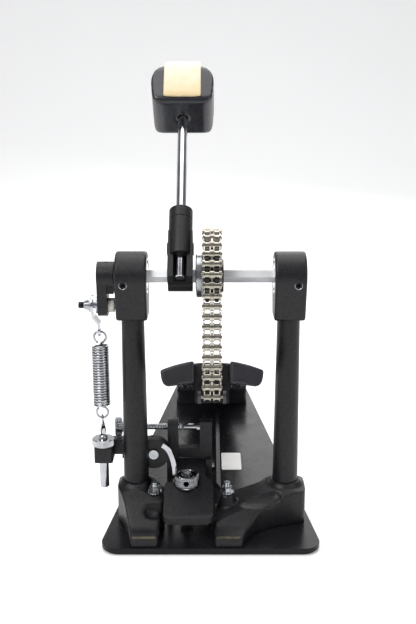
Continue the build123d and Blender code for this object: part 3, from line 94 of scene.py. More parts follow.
# ---------------------------------------------------------------- colours and nodes
def linear(hex_colour: str) -> Colour:
    """Turn an sRGB hex colour into the linear colour that shaders take.

    Args:
        hex_colour: six hex digits after a hash.

    Returns:
        The linear red, green, blue and an alpha of 1.
    """
    channels = [int(hex_colour[k:k + 2], 16) / 255.0 for k in (1, 3, 5)]
    curve = [c / 12.92 if c <= 0.04045 else ((c + 0.055) / 1.055) ** 2.4 for c in channels]
    return curve[0], curve[1], curve[2], 1.0


def add_node(
    tree: bpy.types.NodeTree,
    kind: str,
    settings: Optional[dict[str, Any]] = None,
    inputs: Optional[Inputs] = None,
) -> bpy.types.Node:
    """Add one shader node with its settings and links.

    Args:
        tree: the material's node tree.
        kind: the node's type name.
        settings: attribute names and their values.
        inputs: socket names or numbers, each with a value or with the socket to link from.

    Returns:
        The new node.
    """
    node = tree.nodes.new(kind)
    for name, value in (settings or {}).items():
        setattr(node, name, value)
    for key, value in (inputs or {}).items():
        if isinstance(value, bpy.types.NodeSocket):
            tree.links.new(value, node.inputs[key])
        else:
            node.inputs[key].default_value = value
    return node


# ---------------------------------------------------------------- finishes
@dataclass(frozen=True)
class Finish:
    """A surface finish: two close tones, a roughness that wanders, and a fine relief.

    Sizes and heights are real ones, in millimetres.
    """

    name: str
    dark: str
    light: str
    roughness: float
    roughness_swing: float = 0.05
    metallic: float = 0.0
    ior: float = 1.5
    tone_size: float = 12.0
    grain_size: float = 1.2
    grain_height: float = 0.03
    stretch: Point = (1.0, 1.0, 1.0)
    coat: float = 0.0
    coat_roughness: float = 0.05
    sheen: float = 0.0
    specular: float = 0.5
    glow: float = 0.0

    def position(self, tree: bpy.types.NodeTree) -> bpy.types.NodeSocket:
        """Give the piece's own coordinates, stretched along the finish's lay."""
        place = add_node(tree, "ShaderNodeTexCoord").outputs["Object"]
        return add_node(
            tree, "ShaderNodeMapping", inputs={"Vector": place, "Scale": self.stretch}
        ).outputs["Vector"]

    def noise(
        self, tree: bpy.types.NodeTree, place: bpy.types.NodeSocket, size: float, detail: float = 3.0
    ) -> bpy.types.NodeSocket:
        """Give a soft noise.

        Args:
            tree: the material's node tree.
            place: the coordinates it is read at.
            size: its feature size in millimetres.
            detail: how many finer octaves it has.

        Returns:
            The noise value, from 0 to 1.
        """
        scale = 1.0 / (size * MM)
        return add_node(
            tree, "ShaderNodeTexNoise", inputs={"Vector": place, "Scale": scale, "Detail": detail}
        ).outputs["Fac"]

    def tone(self, tree: bpy.types.NodeTree, place: bpy.types.NodeSocket) -> bpy.types.NodeSocket:
        """Mix the two tones by a broad noise."""
        amount = self.noise(tree, place, self.tone_size)
        spread = add_node(
            tree, "ShaderNodeMapRange", inputs={0: amount, 1: 0.3, 2: 0.7, 3: 0.0, 4: 1.0}
        ).outputs[0]
        return add_node(
            tree, "ShaderNodeMix", {"data_type": "RGBA"},
            {"Factor": spread, 6: linear(self.dark), 7: linear(self.light)},
        ).outputs[2]

    def height(self, tree: bpy.types.NodeTree, place: bpy.types.NodeSocket) -> bpy.types.NodeSocket:
        """Give the relief as a value from 0 to 1."""
        return self.noise(tree, place, self.grain_size, 2.0)

    def adjust(
        self, tree: bpy.types.NodeTree, place: bpy.types.NodeSocket, shader: bpy.types.Node
    ) -> None:
        """Change the finished shader; a plain finish leaves it as it is."""

    def build(self) -> bpy.types.Material:
        """Make the material, once for each name.

        Returns:
            The material.
        """
        found = bpy.data.materials.get(self.name)
        if found is not None:
            return found
        material = bpy.data.materials.new(self.name)
        material.use_nodes = True
        tree = material.node_tree
        tree.nodes.clear()
        place = self.position(tree)
        wander = add_node(
            tree, "ShaderNodeMapRange",
            inputs={
                0: self.noise(tree, place, self.tone_size * 0.4), 1: 0.3, 2: 0.7,
                3: max(0.02, self.roughness - self.roughness_swing),
                4: min(1.0, self.roughness + self.roughness_swing),
            },
        ).outputs[0]
        relief = add_node(
            tree, "ShaderNodeBump",
            inputs={
                "Height": self.height(tree, place), "Strength": 1.0,
                "Distance": self.grain_height * MM,
            },
        ).outputs["Normal"]
        shader = add_node(
            tree, "ShaderNodeBsdfPrincipled",
            inputs={
                "Base Color": self.tone(tree, place), "Roughness": wander, "Normal": relief,
                "Metallic": self.metallic, "Coat Weight": self.coat,
                "Coat Roughness": self.coat_roughness, "Sheen Weight": self.sheen,
                "Specular IOR Level": self.specular, "Emission Strength": self.glow,
            },
        )
        if self.metallic < 0.5:  # a metal keeps the default IOR
            shader.inputs["IOR"].default_value = self.ior
        self.adjust(tree, place, shader)
        add_node(tree, "ShaderNodeOutputMaterial", inputs={"Surface": shader.outputs[0]})
        return material


@dataclass(frozen=True)
class WornCasting(Finish):
    """A powder-coated casting whose coat is rubbed through to the metal within one box."""

    bare: str = "#7d745f"
    worn_low: Point = (-1.0, -1.0, -1.0)
    worn_high: Point = (1.0, 1.0, 1.0)
    feather: float = 0.8
    patch_size: float = 8.0

    def adjust(
        self, tree: bpy.types.NodeTree, place: bpy.types.NodeSocket, shader: bpy.types.Node
    ) -> None:
        """Bring bare metal through inside the worn box, broken up by a noise."""
        raw = add_node(tree, "ShaderNodeTexCoord").outputs["Object"]
        split = add_node(tree, "ShaderNodeSeparateXYZ", inputs={0: raw})
        mask = None
        for axis in range(3):
            low, high = self.worn_low[axis] * MM, self.worn_high[axis] * MM
            soft = self.feather * MM
            rise = add_node(
                tree, "ShaderNodeMapRange",
                inputs={0: split.outputs[axis], 1: low - soft, 2: low + soft, 3: 0.0, 4: 1.0},
            ).outputs[0]
            fall = add_node(
                tree, "ShaderNodeMapRange",
                inputs={0: split.outputs[axis], 1: high - soft, 2: high + soft, 3: 1.0, 4: 0.0},
            ).outputs[0]
            for part in (rise, fall):
                if mask is None:
                    mask = part
                else:
                    mask = add_node(
                        tree, "ShaderNodeMath", {"operation": "MULTIPLY"}, {0: mask, 1: part}
                    ).outputs[0]
        broken = add_node(
            tree, "ShaderNodeMapRange",
            inputs={0: self.noise(tree, raw, self.patch_size, 1.0), 1: 0.2, 2: 0.5, 3: 0.15, 4: 0.9},
        ).outputs[0]
        amount = add_node(
            tree, "ShaderNodeMath", {"operation": "MULTIPLY"}, {0: mask, 1: broken}
        ).outputs[0]
        painted = shader.inputs["Base Color"].links[0].from_socket
        bared = add_node(
            tree, "ShaderNodeMix", {"data_type": "RGBA"},
            {"Factor": amount, 6: painted, 7: linear(self.bare)},
        ).outputs[2]
        tree.links.new(bared, shader.inputs["Base Color"])
        tree.links.new(amount, shader.inputs["Metallic"])


@dataclass(frozen=True)
class ThreadedMetal(Finish):
    """Plated metal with a screw thread cut along one axis."""

    axis: str = "Z"
    pitch: float = 1.0

    def height(self, tree: bpy.types.NodeTree, place: bpy.types.NodeSocket) -> bpy.types.NodeSocket:
        """Give the thread's crests and roots as bands one pitch apart."""
        bands = 2.0 * math.pi / (20.0 * self.pitch * MM)  # a wave texture repeats every 2 pi / 20
        return add_node(
            tree, "ShaderNodeTexWave",
            {"wave_type": "BANDS", "bands_direction": self.axis, "wave_profile": "SIN"},
            {"Vector": place, "Scale": bands},
        ).outputs["Fac"]


@dataclass(frozen=True)
class PressedFelt(Finish):
    """Pressed wool felt: matted fibres over a broad soft unevenness, with painted shade at its lower end.
    """

    fibre_size: float = 0.9
    # painted shade: the darker tint that the felt's lower end is mixed towards, and the heights in
    # millimetres over which that shade fades out upwards
    shade_tint: str = "#d9c08c"
    shade_below: tuple[float, float] = (346.0, 373.0)

    def adjust(
        self, tree: bpy.types.NodeTree, place: bpy.types.NodeSocket, shader: bpy.types.Node
    ) -> None:
        """Paint shade on the felt's lower end: below these heights its cream is mixed towards a darker,
        yellower tint.
        """
        raw = add_node(tree, "ShaderNodeTexCoord").outputs["Object"]
        height = add_node(tree, "ShaderNodeSeparateXYZ", inputs={0: raw}).outputs[2]
        low, high = (z * MM for z in self.shade_below)
        amount = add_node(
            tree, "ShaderNodeMapRange", inputs={0: height, 1: low, 2: high, 3: 0.85, 4: 0.0}
        ).outputs[0]
        unshaded_tone = shader.inputs["Base Color"].links[0].from_socket
        # painted shade: the felt's colour turns towards the darker tint low on the strip
        shaded_tone = add_node(
            tree, "ShaderNodeMix", {"data_type": "RGBA"},
            {"Factor": amount, 6: unshaded_tone, 7: linear(self.shade_tint)},
        ).outputs[2]
        tree.links.new(shaded_tone, shader.inputs["Base Color"])

    def height(self, tree: bpy.types.NodeTree, place: bpy.types.NodeSocket) -> bpy.types.NodeSocket:
        """Add fine fibres to a broader lumpiness."""
        fibres = self.noise(tree, place, self.fibre_size, 6.0)
        lumps = self.noise(tree, place, self.grain_size * 3.0, 2.0)
        return add_node(
            tree, "ShaderNodeMath", {"operation": "MULTIPLY_ADD"}, {0: lumps, 1: 0.6, 2: fibres}
        ).outputs[0]


# Powder coat on die-cast zinc: a low even orange peel that breaks up the highlights.
POWDER_COAT = Finish(
    "powder_coated_die_casting", "#09080a", "#1a191d", 0.42, 0.1, ior=1.5, tone_size=2.2,
    grain_size=1.3, grain_height=0.2, specular=0.34,
)
# The toes of the feet are struck by the hoop and the boot, so their front edges show bare metal.
LEFT_TOE = WornCasting(
    "powder_coated_casting_worn_left_toe", "#09080a", "#1a191d", 0.42, 0.1, ior=1.5,
    tone_size=2.2, grain_size=1.4, grain_height=0.18, specular=0.34,
    worn_low=(-61.0, -54.6, 13.6), worn_high=(-43.0, -51.6, 16.0),
)
RIGHT_TOE = replace(
    LEFT_TOE, name="powder_coated_casting_worn_right_toe",
    worn_low=(5.0, -54.6, 13.6), worn_high=(23.5, -51.6, 16.0),
)
# Gloss enamel on pressed steel: a wet-looking coat that mirrors the posts in streaks.
GLOSS_ENAMEL = Finish(
    "gloss_enamelled_steel", "#131216", "#1a191c", 0.26, 0.04, ior=1.5, tone_size=40.0,
    grain_size=7.0, grain_height=0.01, specular=0.16,
)
# Satin powder coat on cast aluminium: the footboard's even dull shine.
SATIN_BOARD = Finish(
    "satin_coated_aluminium", "#1d1d21", "#28282c", 0.38, 0.05, ior=1.5, tone_size=22.0,
    grain_size=1.5, grain_height=0.04, specular=0.4,
)
# Polished chromium plate over nickel: a near mirror with faint polishing waves.
CHROME = Finish(
    "chromium_plated_steel", "#a9aaae", "#c0c1c4", 0.1, 0.04, metallic=1.0, tone_size=15.0,
    grain_size=4.0, grain_height=0.006,
)
# Bright zinc plate, barrel plated: greyer and duller than chrome, slightly blotched.
ZINC = Finish(
    "bright_zinc_plated_steel", "#96999e", "#b4b7ba", 0.27, 0.08, metallic=1.0, tone_size=5.0,
    grain_size=1.4, grain_height=0.015,
)
# Electroless nickel on stamped chain plates: a warm silver with a soft stamped skin.
CHAIN_NICKEL = Finish(
    "nickel_plated_chain_steel", "#9a958a", "#bdb7aa", 0.2, 0.08, metallic=1.0, tone_size=3.5,
    grain_size=1.0, grain_height=0.012,
)
# Ground bearing steel: clean and bright with fine turning marks.
BEARING = Finish(
    "ground_bearing_steel", "#b9bbbf", "#cccdd0", 0.18, 0.05, metallic=1.0, tone_size=6.0,
    grain_size=0.8, grain_height=0.006, stretch=(4.0, 1.0, 1.0),
)
# Bright drawn bar: the axle's flats keep drawing lines that run along it.
DRAWN_BAR = Finish(
    "bright_drawn_steel_bar", "#d6d8db", "#e6e7e8", 0.42, 0.06, metallic=1.0, tone_size=6.0,
    grain_size=0.9, grain_height=0.01, stretch=(0.05, 1.0, 1.0),
)
# Turned and plated collar: a grey chrome with fine rings from the lathe.
TURNED_COLLAR = Finish(
    "turned_plated_steel", "#8d8f93", "#a9aaad", 0.24, 0.06, metallic=1.0, tone_size=8.0,
    grain_size=0.7, grain_height=0.01, stretch=(6.0, 1.0, 1.0),
)
# Black oxide on machined screws: a dark, slightly oily metal.
BLACK_OXIDE = Finish(
    "black_oxide_steel", "#1b1a1d", "#2a292c", 0.36, 0.08, metallic=0.85, tone_size=4.0,
    grain_size=0.9, grain_height=0.015,
)
# Black e-coat on the machined sprocket: thin and satin.
SPROCKET_COAT = Finish(
    "black_coated_machined_steel", "#1e1d20", "#2b2a2d", 0.33, 0.06, ior=1.5, tone_size=5.0,
    grain_size=1.0, grain_height=0.02, coat=0.2, coat_roughness=0.2,
)
# Music wire with a zinc flash: bright turns with dark gaps.
SPRING_WIRE = Finish(
    "zinc_flashed_music_wire", "#9d9ea2", "#bcbdc0", 0.2, 0.06, metallic=1.0, tone_size=4.0,
    grain_size=0.8, grain_height=0.008,
)
# Moulded ABS with a fine spark texture: the beater's satin blue-black body.
MOULDED_ABS = Finish(
    "moulded_abs", "#13141a", "#1c1d24", 0.3, 0.05, ior=1.53, tone_size=18.0,
    grain_size=1.4, grain_height=0.018,
)
# Pressed wool felt: a dull cream nap that catches light at its rim, with painted shade darkening its
# lower end.
FELT = PressedFelt(
    "pressed_wool_felt", "#e9dfc9", "#f3ecdc", 0.95, 0.04, ior=1.45, tone_size=7.0,
    grain_size=2.2, grain_height=0.3, sheen=0.5,
)
# Moulded nitrile rubber sheet: dull and slightly chalky, with a pebbled face.
RUBBER = Finish(
    "moulded_nitrile_rubber", "#161616", "#212121", 0.75, 0.1, ior=1.52, tone_size=10.0,
    grain_size=1.6, grain_height=0.12,
)
# Turned natural nylon: the smooth cream bushing beside the spring's pivot.
NYLON = Finish(
    "turned_natural_nylon", "#cfccc2", "#dedbd2", 0.42, 0.06, ior=1.53, tone_size=6.0,
    grain_size=0.9, grain_height=0.01,
)
# Coated label paper: a blank white sticker with a faint tooth.
LABEL_PAPER = Finish(
    "coated_label_paper", "#efeeeb", "#f8f7f5", 0.5, 0.05, ior=1.5, tone_size=14.0,
    grain_size=0.9, grain_height=0.012,
)
# A zinc-plated screw thread standing upright, with the 1.25 mm pitch of a coarse 8 mm screw.
UPRIGHT_THREAD = ThreadedMetal(
    "zinc_plated_upright_thread", "#a9acb1", "#c8cbce", 0.27, 0.06, metallic=1.0, tone_size=5.0,
    grain_height=0.28, axis="Z", pitch=1.25,
)
# The same pitch on a screw that lies across the pedal.
CROSS_THREAD = ThreadedMetal(
    "zinc_plated_cross_thread", "#9fa2a6", "#c3c6c9", 0.27, 0.06, metallic=1.0, tone_size=5.0,
    grain_height=0.25, axis="X", pitch=1.25,
)
# Matt studio floor, brushed paint: pale and even, with a trace of roller texture.
STUDIO_FLOOR = Finish(
    "matt_studio_paint", "#f1f1f1", "#f4f4f4", 0.8, 0.02, ior=1.4, tone_size=900.0,
    grain_size=6.0, grain_height=0.01, glow=0.2,
)


# ---------------------------------------------------------------- mesh code
def new_piece(
    name: str, points: Sequence[Vector], faces: Sequence[Sequence[int]], sharp: float = 32.0
) -> bpy.types.Object:
    """Make a mesh object.

    Args:
        name: the piece's name.
        points: its vertices in metres.
        faces: vertex numbers of each face.
        sharp: edges that turn by more than this many degrees stay crisp.

    Returns:
        The object, linked to the scene.
    """
    mesh = bpy.data.meshes.new(name)
    mesh.from_pydata([tuple(p) for p in points], [], [tuple(f) for f in faces])
    mesh.validate()
    mesh.shade_smooth()
    mesh.set_sharp_from_angle(angle=math.radians(sharp))
    piece = bpy.data.objects.new(name, mesh)
    bpy.context.scene.collection.objects.link(piece)
    return piece


def skin_faces(ring_count: int, size: int, first: int, closed: bool) -> list[list[int]]:
    """Give the faces that join rings of vertices into a skin.

    Args:
        ring_count: how many rings there are.
        size: how many vertices each has.
        first: the number of the first vertex.
        closed: whether the last ring joins the first; if not, a face closes each end.

    Returns:
        The faces as lists of vertex numbers.
    """
    faces = []
    spans = ring_count if closed else ring_count - 1
    for row in range(spans):
        low, high = first + row * size, first + ((row + 1) % ring_count) * size
        for k in range(size):
            after = (k + 1) % size
            faces.append([low + k, low + after, high + after, high + k])
    if not closed:
        faces.append([first + k for k in reversed(range(size))])
        faces.append([first + (ring_count - 1) * size + k for k in range(size)])
    return faces


def skin(name: str, parts: Iterable[tuple[list[Ring], bool]], sharp: float = 32.0) -> bpy.types.Object:
    """Make one piece from skins of rings.

    Args:
        name: the piece's name.
        parts: each skin's rings, and whether its last ring joins its first.
        sharp: the crease angle in degrees.

    Returns:
        The object.
    """
    points: list[Vector] = []
    faces: list[list[int]] = []
    for rings, closed in parts:
        faces += skin_faces(len(rings), len(rings[0]), len(points), closed)
        for ring in rings:
            points += ring
    piece = new_piece(name, points, faces, sharp)
    shell = bmesh.new()
    shell.from_mesh(piece.data)
    bmesh.ops.recalc_face_normals(shell, faces=shell.faces)
    shell.to_mesh(piece.data)
    shell.free()
    piece.data.shade_smooth()
    piece.data.set_sharp_from_angle(angle=math.radians(sharp))
    return piece


def wire(path: Sequence[Vector], radius: float, steps: int) -> list[Ring]:
    """Give the rings of a round wire along a path, with no twist between them.

    Args:
        path: points along the wire's centre.
        radius: the wire's radius.
        steps: points round the wire.

    Returns:
        One ring for each point of the path.
    """
    rings: list[Ring] = []
    side = Vector((0.0, 0.0, 0.0))
    last = len(path) - 1
    for k, point in enumerate(path):
        along = (path[min(k + 1, last)] - path[max(k - 1, 0)]).normalized()
        if side.length < 0.5:
            side = along.orthogonal()
        side = (side - along * side.dot(along)).normalized()
        up = along.cross(side)
        turns = [2.0 * math.pi * j / steps for j in range(steps)]
        rings.append([point + radius * (math.cos(t) * side + math.sin(t) * up) for t in turns])
    return rings


def lathe(
    base: Vector, along: Vector, profile: Sequence[tuple[float, float]], steps: int,
    relief: Optional[Callable[[float, float], float]] = None,
) -> list[Ring]:
    """Give the rings of a turned shape.

    Args:
        base: the point its heights are measured from.
        along: its axis.
        profile: (height, radius) pairs in metres.
        steps: points round it.
        relief: how far a point sinks, from its angle and height.

    Returns:
        One ring for each pair of the profile.
    """
    axis = along.normalized()
    side = axis.orthogonal().normalized()
    up = axis.cross(side)
    rings = []
    for height, radius in profile:
        ring = []
        for k in range(steps):
            angle = 2.0 * math.pi * k / steps
            reach = radius - (relief(angle, height) if relief else 0.0)
            spoke = math.cos(angle) * side + math.sin(angle) * up
            ring.append(base + axis * height + spoke * reach)
        rings.append(ring)
    return rings


def boxed_piece(
    name: str, shell: bmesh.types.BMesh, low: Vector, high: Vector, sharp: float
) -> bpy.types.Object:
    """Make a piece from a shell, held inside a box.

    Args:
        name: the piece's name.
        shell: its shape, which is freed here.
        low: the box's lowest corner.
        high: the box's highest corner.
        sharp: the crease angle in degrees.

    Returns:
        The object.
    """
    for v in shell.verts:
        v.co = Vector([min(max(v.co[k], low[k]), high[k]) for k in range(3)])
    shell.verts.index_update()
    points = [v.co.copy() for v in shell.verts]
    faces = [[v.index for v in f.verts] for f in shell.faces]
    shell.free()
    return new_piece(name, points, faces, sharp)


def dress(piece: bpy.types.Object, finish: Finish) -> None:
    """Give a piece one finish in every material slot."""
    material = finish.build()
    if not piece.data.materials:
        piece.data.materials.append(material)
    for k in range(len(piece.data.materials)):
        piece.data.materials[k] = material


def settle(
    piece: bpy.types.Object, body: str, finish: Finish, replaced: Sequence[str] = ()
) -> bpy.types.Object:
    """Dress a piece, put it on its body and hide the CAD nodes that it stands for.

    Args:
        piece: the piece, in place.
        body: the body it moves with.
        finish: its finish.
        replaced: CAD nodes that it stands for.

    Returns:
        The piece.
    """
    dress(piece, finish)
    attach(piece, body)
    if replaced:
        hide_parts(*replaced)
    LOG.info("%s rides on %s", piece.name, body)
    return piece


# ---------------------------------------------------------------- pieces worked up from CAD nodes
@dataclass(frozen=True)
class EdgeRound:
    """A larger round on the edges of a face that looks one way."""

    facing: Point
    radius: float
    segments: int = 6

    def picks(self, edge: bmesh.types.BMEdge) -> bool:
        """Tell whether an edge takes the round."""
        if len(edge.link_faces) != 2:
            return False
        turned = sorted(face.normal.dot(Vector(self.facing)) for face in edge.link_faces)
        return turned[0] < 0.6 and turned[1] > 0.8


@dataclass
class SoftenedPart:
    """A CAD node's own shape with its sharp edges broken, as tumbling, casting or coating leaves them."""

    node: str
    finish: Finish
    slot: str
    edge: float = 0.4
    sharp: float = 35.0
    rounds: Sequence[EdgeRound] = ()

    def build(self, frame: dict[str, Any]) -> bpy.types.Object:
        """Copy the node's mesh, bevel its edges and put the copy in its place.


        Returns:
            The new piece.
        """
        source = frame["nodes"][self.node]
        body = source["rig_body"]
        shell = bmesh.new()
        shell.from_mesh(source.data)
        bmesh.ops.remove_doubles(shell, verts=shell.verts, dist=0.004 * MM)
        bmesh.ops.dissolve_limit(
            shell, angle_limit=math.radians(0.6), verts=shell.verts, edges=shell.edges
        )
        for large in self.rounds:
            bmesh.ops.bevel(
                shell, geom=[e for e in shell.edges if large.picks(e)], offset=large.radius * MM,
                segments=large.segments, profile=0.5, affect="EDGES", clamp_overlap=True,
                offset_type="OFFSET",
            )
        crisp = [
            e for e in shell.edges
            if len(e.link_faces) == 2 and e.calc_face_angle(0.0) > math.radians(self.sharp)
        ]
        bmesh.ops.bevel(
            shell, geom=crisp, offset=self.edge * MM, segments=2, profile=0.5, affect="EDGES",
            clamp_overlap=True, offset_type="OFFSET",
        )
        bmesh.ops.triangulate(shell, faces=[f for f in shell.faces if len(f.verts) > 4])
        low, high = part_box(self.node)
        piece = boxed_piece(f"{self.node}_softened", shell, low, high, 40.0)
        flats = piece.modifiers.new("flat_faces_stay_flat", "WEIGHTED_NORMAL")
        flats.keep_sharp = True
        return settle(piece, body, self.finish, [self.node])


@dataclass
class MouldedPart:
    """A CAD node worked into the flowing shape that a mould leaves."""

    node: str
    finish: Finish
    slot: str
    voxel: float = 1.0
    passes: int = 8
    shape: Optional[Callable[[Vector], Vector]] = None
    fixed_below: float = -1.0

    def build(self, frame: dict[str, Any]) -> bpy.types.Object:
        """Remesh the node finely, move its points by the shape, and smooth it.


        Returns:
            The new piece.
        """
        source = frame["nodes"][self.node]
        body = source["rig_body"]
        draft = bpy.data.objects.new(f"{self.node}_draft", source.data.copy())
        bpy.context.scene.collection.objects.link(draft)
        remesh = draft.modifiers.new("fine_skin", "REMESH")
        remesh.mode = "VOXEL"
        remesh.voxel_size = self.voxel * MM
        bpy.context.view_layer.update()
        graph = bpy.context.evaluated_depsgraph_get()
        fine = bpy.data.meshes.new_from_object(draft.evaluated_get(graph))
        shell = bmesh.new()
        shell.from_mesh(fine)
        bpy.data.objects.remove(draft)
        if self.shape:
            for v in shell.verts:
                v.co = self.shape(v.co / MM) * MM
        free = [v for v in shell.verts if v.co.z > self.fixed_below * MM]
        for _ in range(self.passes):
            bmesh.ops.smooth_vert(
                shell, verts=free, factor=0.5, use_axis_x=True, use_axis_y=True, use_axis_z=True
            )
        low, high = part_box(self.node)
        piece = boxed_piece(f"{self.node}_moulded", shell, low, high, 60.0)
        return settle(piece, body, self.finish, [self.node])


@dataclass(frozen=True)
class CollarFall:
    """How a foot's top falls away from the rounded collar round its post."""

    post_x: float
    spur_x: float
    spur_y: float = -15.0
    collar: float = 14.0
    rim: float = 3.0
    top: float = 40.0
    shoulder: float = 36.0
    fall: float = 0.32
    lug_radius: float = 6.8
    lug_top: float = 34.0

    def __call__(self, point: Vector) -> Vector:
        """Lower a point to the highest that the foot may be there, in millimetres."""
        return Vector((point.x, point.y, min(point.z, self.highest(point))))

    def highest(self, point: Vector) -> float:
        """Give the foot's height at a point."""
        away = math.hypot(point.x - self.post_x, point.y)
        if math.hypot(point.x - self.spur_x, point.y - self.spur_y) < self.lug_radius:
            return self.lug_top
        if away <= self.collar - self.rim:
            return self.top
        if away <= self.collar:
            share = (away - self.collar + self.rim) / self.rim
            return self.top - (self.top - self.shoulder) * share ** 2
        return self.shoulder - self.fall * (away - self.collar)


@dataclass
class DressedNodes:
    """CAD nodes whose shape is right as it is and that only take a finish."""

    nodes: Sequence[str]
    finish: Finish

    def build(self, frame: dict[str, Any]) -> None:
        """Assign the finish to each node."""
        for name in self.nodes:
            dress(frame["nodes"][name], self.finish)
            LOG.info("%s keeps its CAD shape in %s", name, self.finish.name)


@dataclass(frozen=True)
class WingTurn:
    """How the footboard's wings turn under at their lower outer corners."""

    middle: float = 1.0
    hinge_y: float = 255.0
    hinge_z: float = 28.0
    slope: float = 22.3
    rise: float = 6.0
    length: float = 318.0
    wing_length: float = 58.0
    wing_half: float = 39.0
    neck_half: float = 31.0
    underside: float = -22.0
    thinning: float = 0.55
    overhang: float = 0.1
    radius: float = 10.0

    def __call__(self, point: Vector) -> Vector:
        """Pull a point outside the corner's round back onto it, in millimetres."""
        lean = math.radians(self.slope)
        away, up = point.y - self.hinge_y, point.z - self.hinge_z
        along = away * math.cos(lean) - up * math.sin(lean)
        high = away * math.sin(lean) + up * math.cos(lean) - self.rise
        share = (along + self.length) / self.wing_length
        if not -self.overhang < share < 1.0:
            return point
        half = self.wing_half + (self.neck_half - self.wing_half) * max(0.0, share)
        floor = self.underside * (1.0 - self.thinning * max(0.0, share))
        across = abs(point.x - self.middle) - (half - self.radius)
        below = (floor + self.radius) - high
        reach = math.hypot(across, below)
        if across <= 0.0 or below <= 0.0 or reach <= self.radius:
            return point
        pull = self.radius / reach
        side = math.copysign(half - self.radius + across * pull, point.x - self.middle)
        high = floor + self.radius - below * pull + self.rise
        away = along * math.cos(lean) + high * math.sin(lean)
        up = high * math.cos(lean) - along * math.sin(lean)
        return Vector((self.middle + side, self.hinge_y + away, self.hinge_z + up))


# ---------------------------------------------------------------- spring side
@dataclass
class ReturnSpring:
    """Extension spring: close coils with a loop turned out of the wire at each end."""

    x: float = -88.0
    coil_low: float = 103.8
    coil_high: float = 154.3
    coil_radius: float = 6.1
    wire_radius: float = 0.95
    turns: int = 23
    lower_loop: tuple[float, float] = (97.5, 4.6)
    upper_loop: tuple[float, float] = (161.05, 4.7)
    steps_per_turn: int = 28
    end_share: float = 0.35
    widening: float = 2.6
    loop_steps: int = 25
    loop_sweep: float = 325.0
    lower_start: float = 125.0
    upper_start: float = -75.0

    def loop(self, height: float, radius: float, start: float) -> list[Point]:
        """Give an end loop's points, which lie in the plane across Y.

        Args:
            height: the height of its middle in millimetres.
            radius: its radius in millimetres.
            start: the angle it starts at in degrees.

        Returns:
            The points in millimetres.
        """
        points = []
        for k in range(self.loop_steps + 1):
            angle = math.radians(start + self.loop_sweep * k / self.loop_steps)
            points.append((self.x + radius * math.cos(angle), 0.0, height + radius * math.sin(angle)))
        return points

    def path(self) -> list[Vector]:
        """Give the wire's centre line: lower loop, coils, upper loop."""
        points = self.loop(*self.lower_loop, self.lower_start)
        total = self.turns * self.steps_per_turn
        start = math.radians(90.0)
        for k in range(total + 1):
            share = k / total
            angle = start + 2.0 * math.pi * self.turns * share
            full = self.end_share + self.widening * min(share, 1.0 - share) * self.turns
            ease = min(1.0, full)
            radius = self.coil_radius * ease
            height = self.coil_low + (self.coil_high - self.coil_low) * share
            points.append((self.x + radius * math.cos(angle), radius * math.sin(angle), height))
        points += self.loop(*self.upper_loop, self.upper_start)
        return [Vector(p) * MM for p in points]

    def build(self) -> bpy.types.Object:
        """Make the wire, baked in place, and hide the CAD spring nodes.

        Returns:
            The spring.
        """
        piece = skin("spring_coil", [(wire(self.path(), self.wire_radius * MM, 10), False)], 60.0)
        dress(piece, SPRING_WIRE)
        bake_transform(piece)
        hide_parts("return_spring", "spring_top_loop")
        LOG.info("%s stretches between spring_lower and spring_upper", piece.name)
        return piece


class Knurl(Enum):
    """How a gripping rim is cut."""

    DIAMOND = "diamond"
    STRAIGHT = "straight"


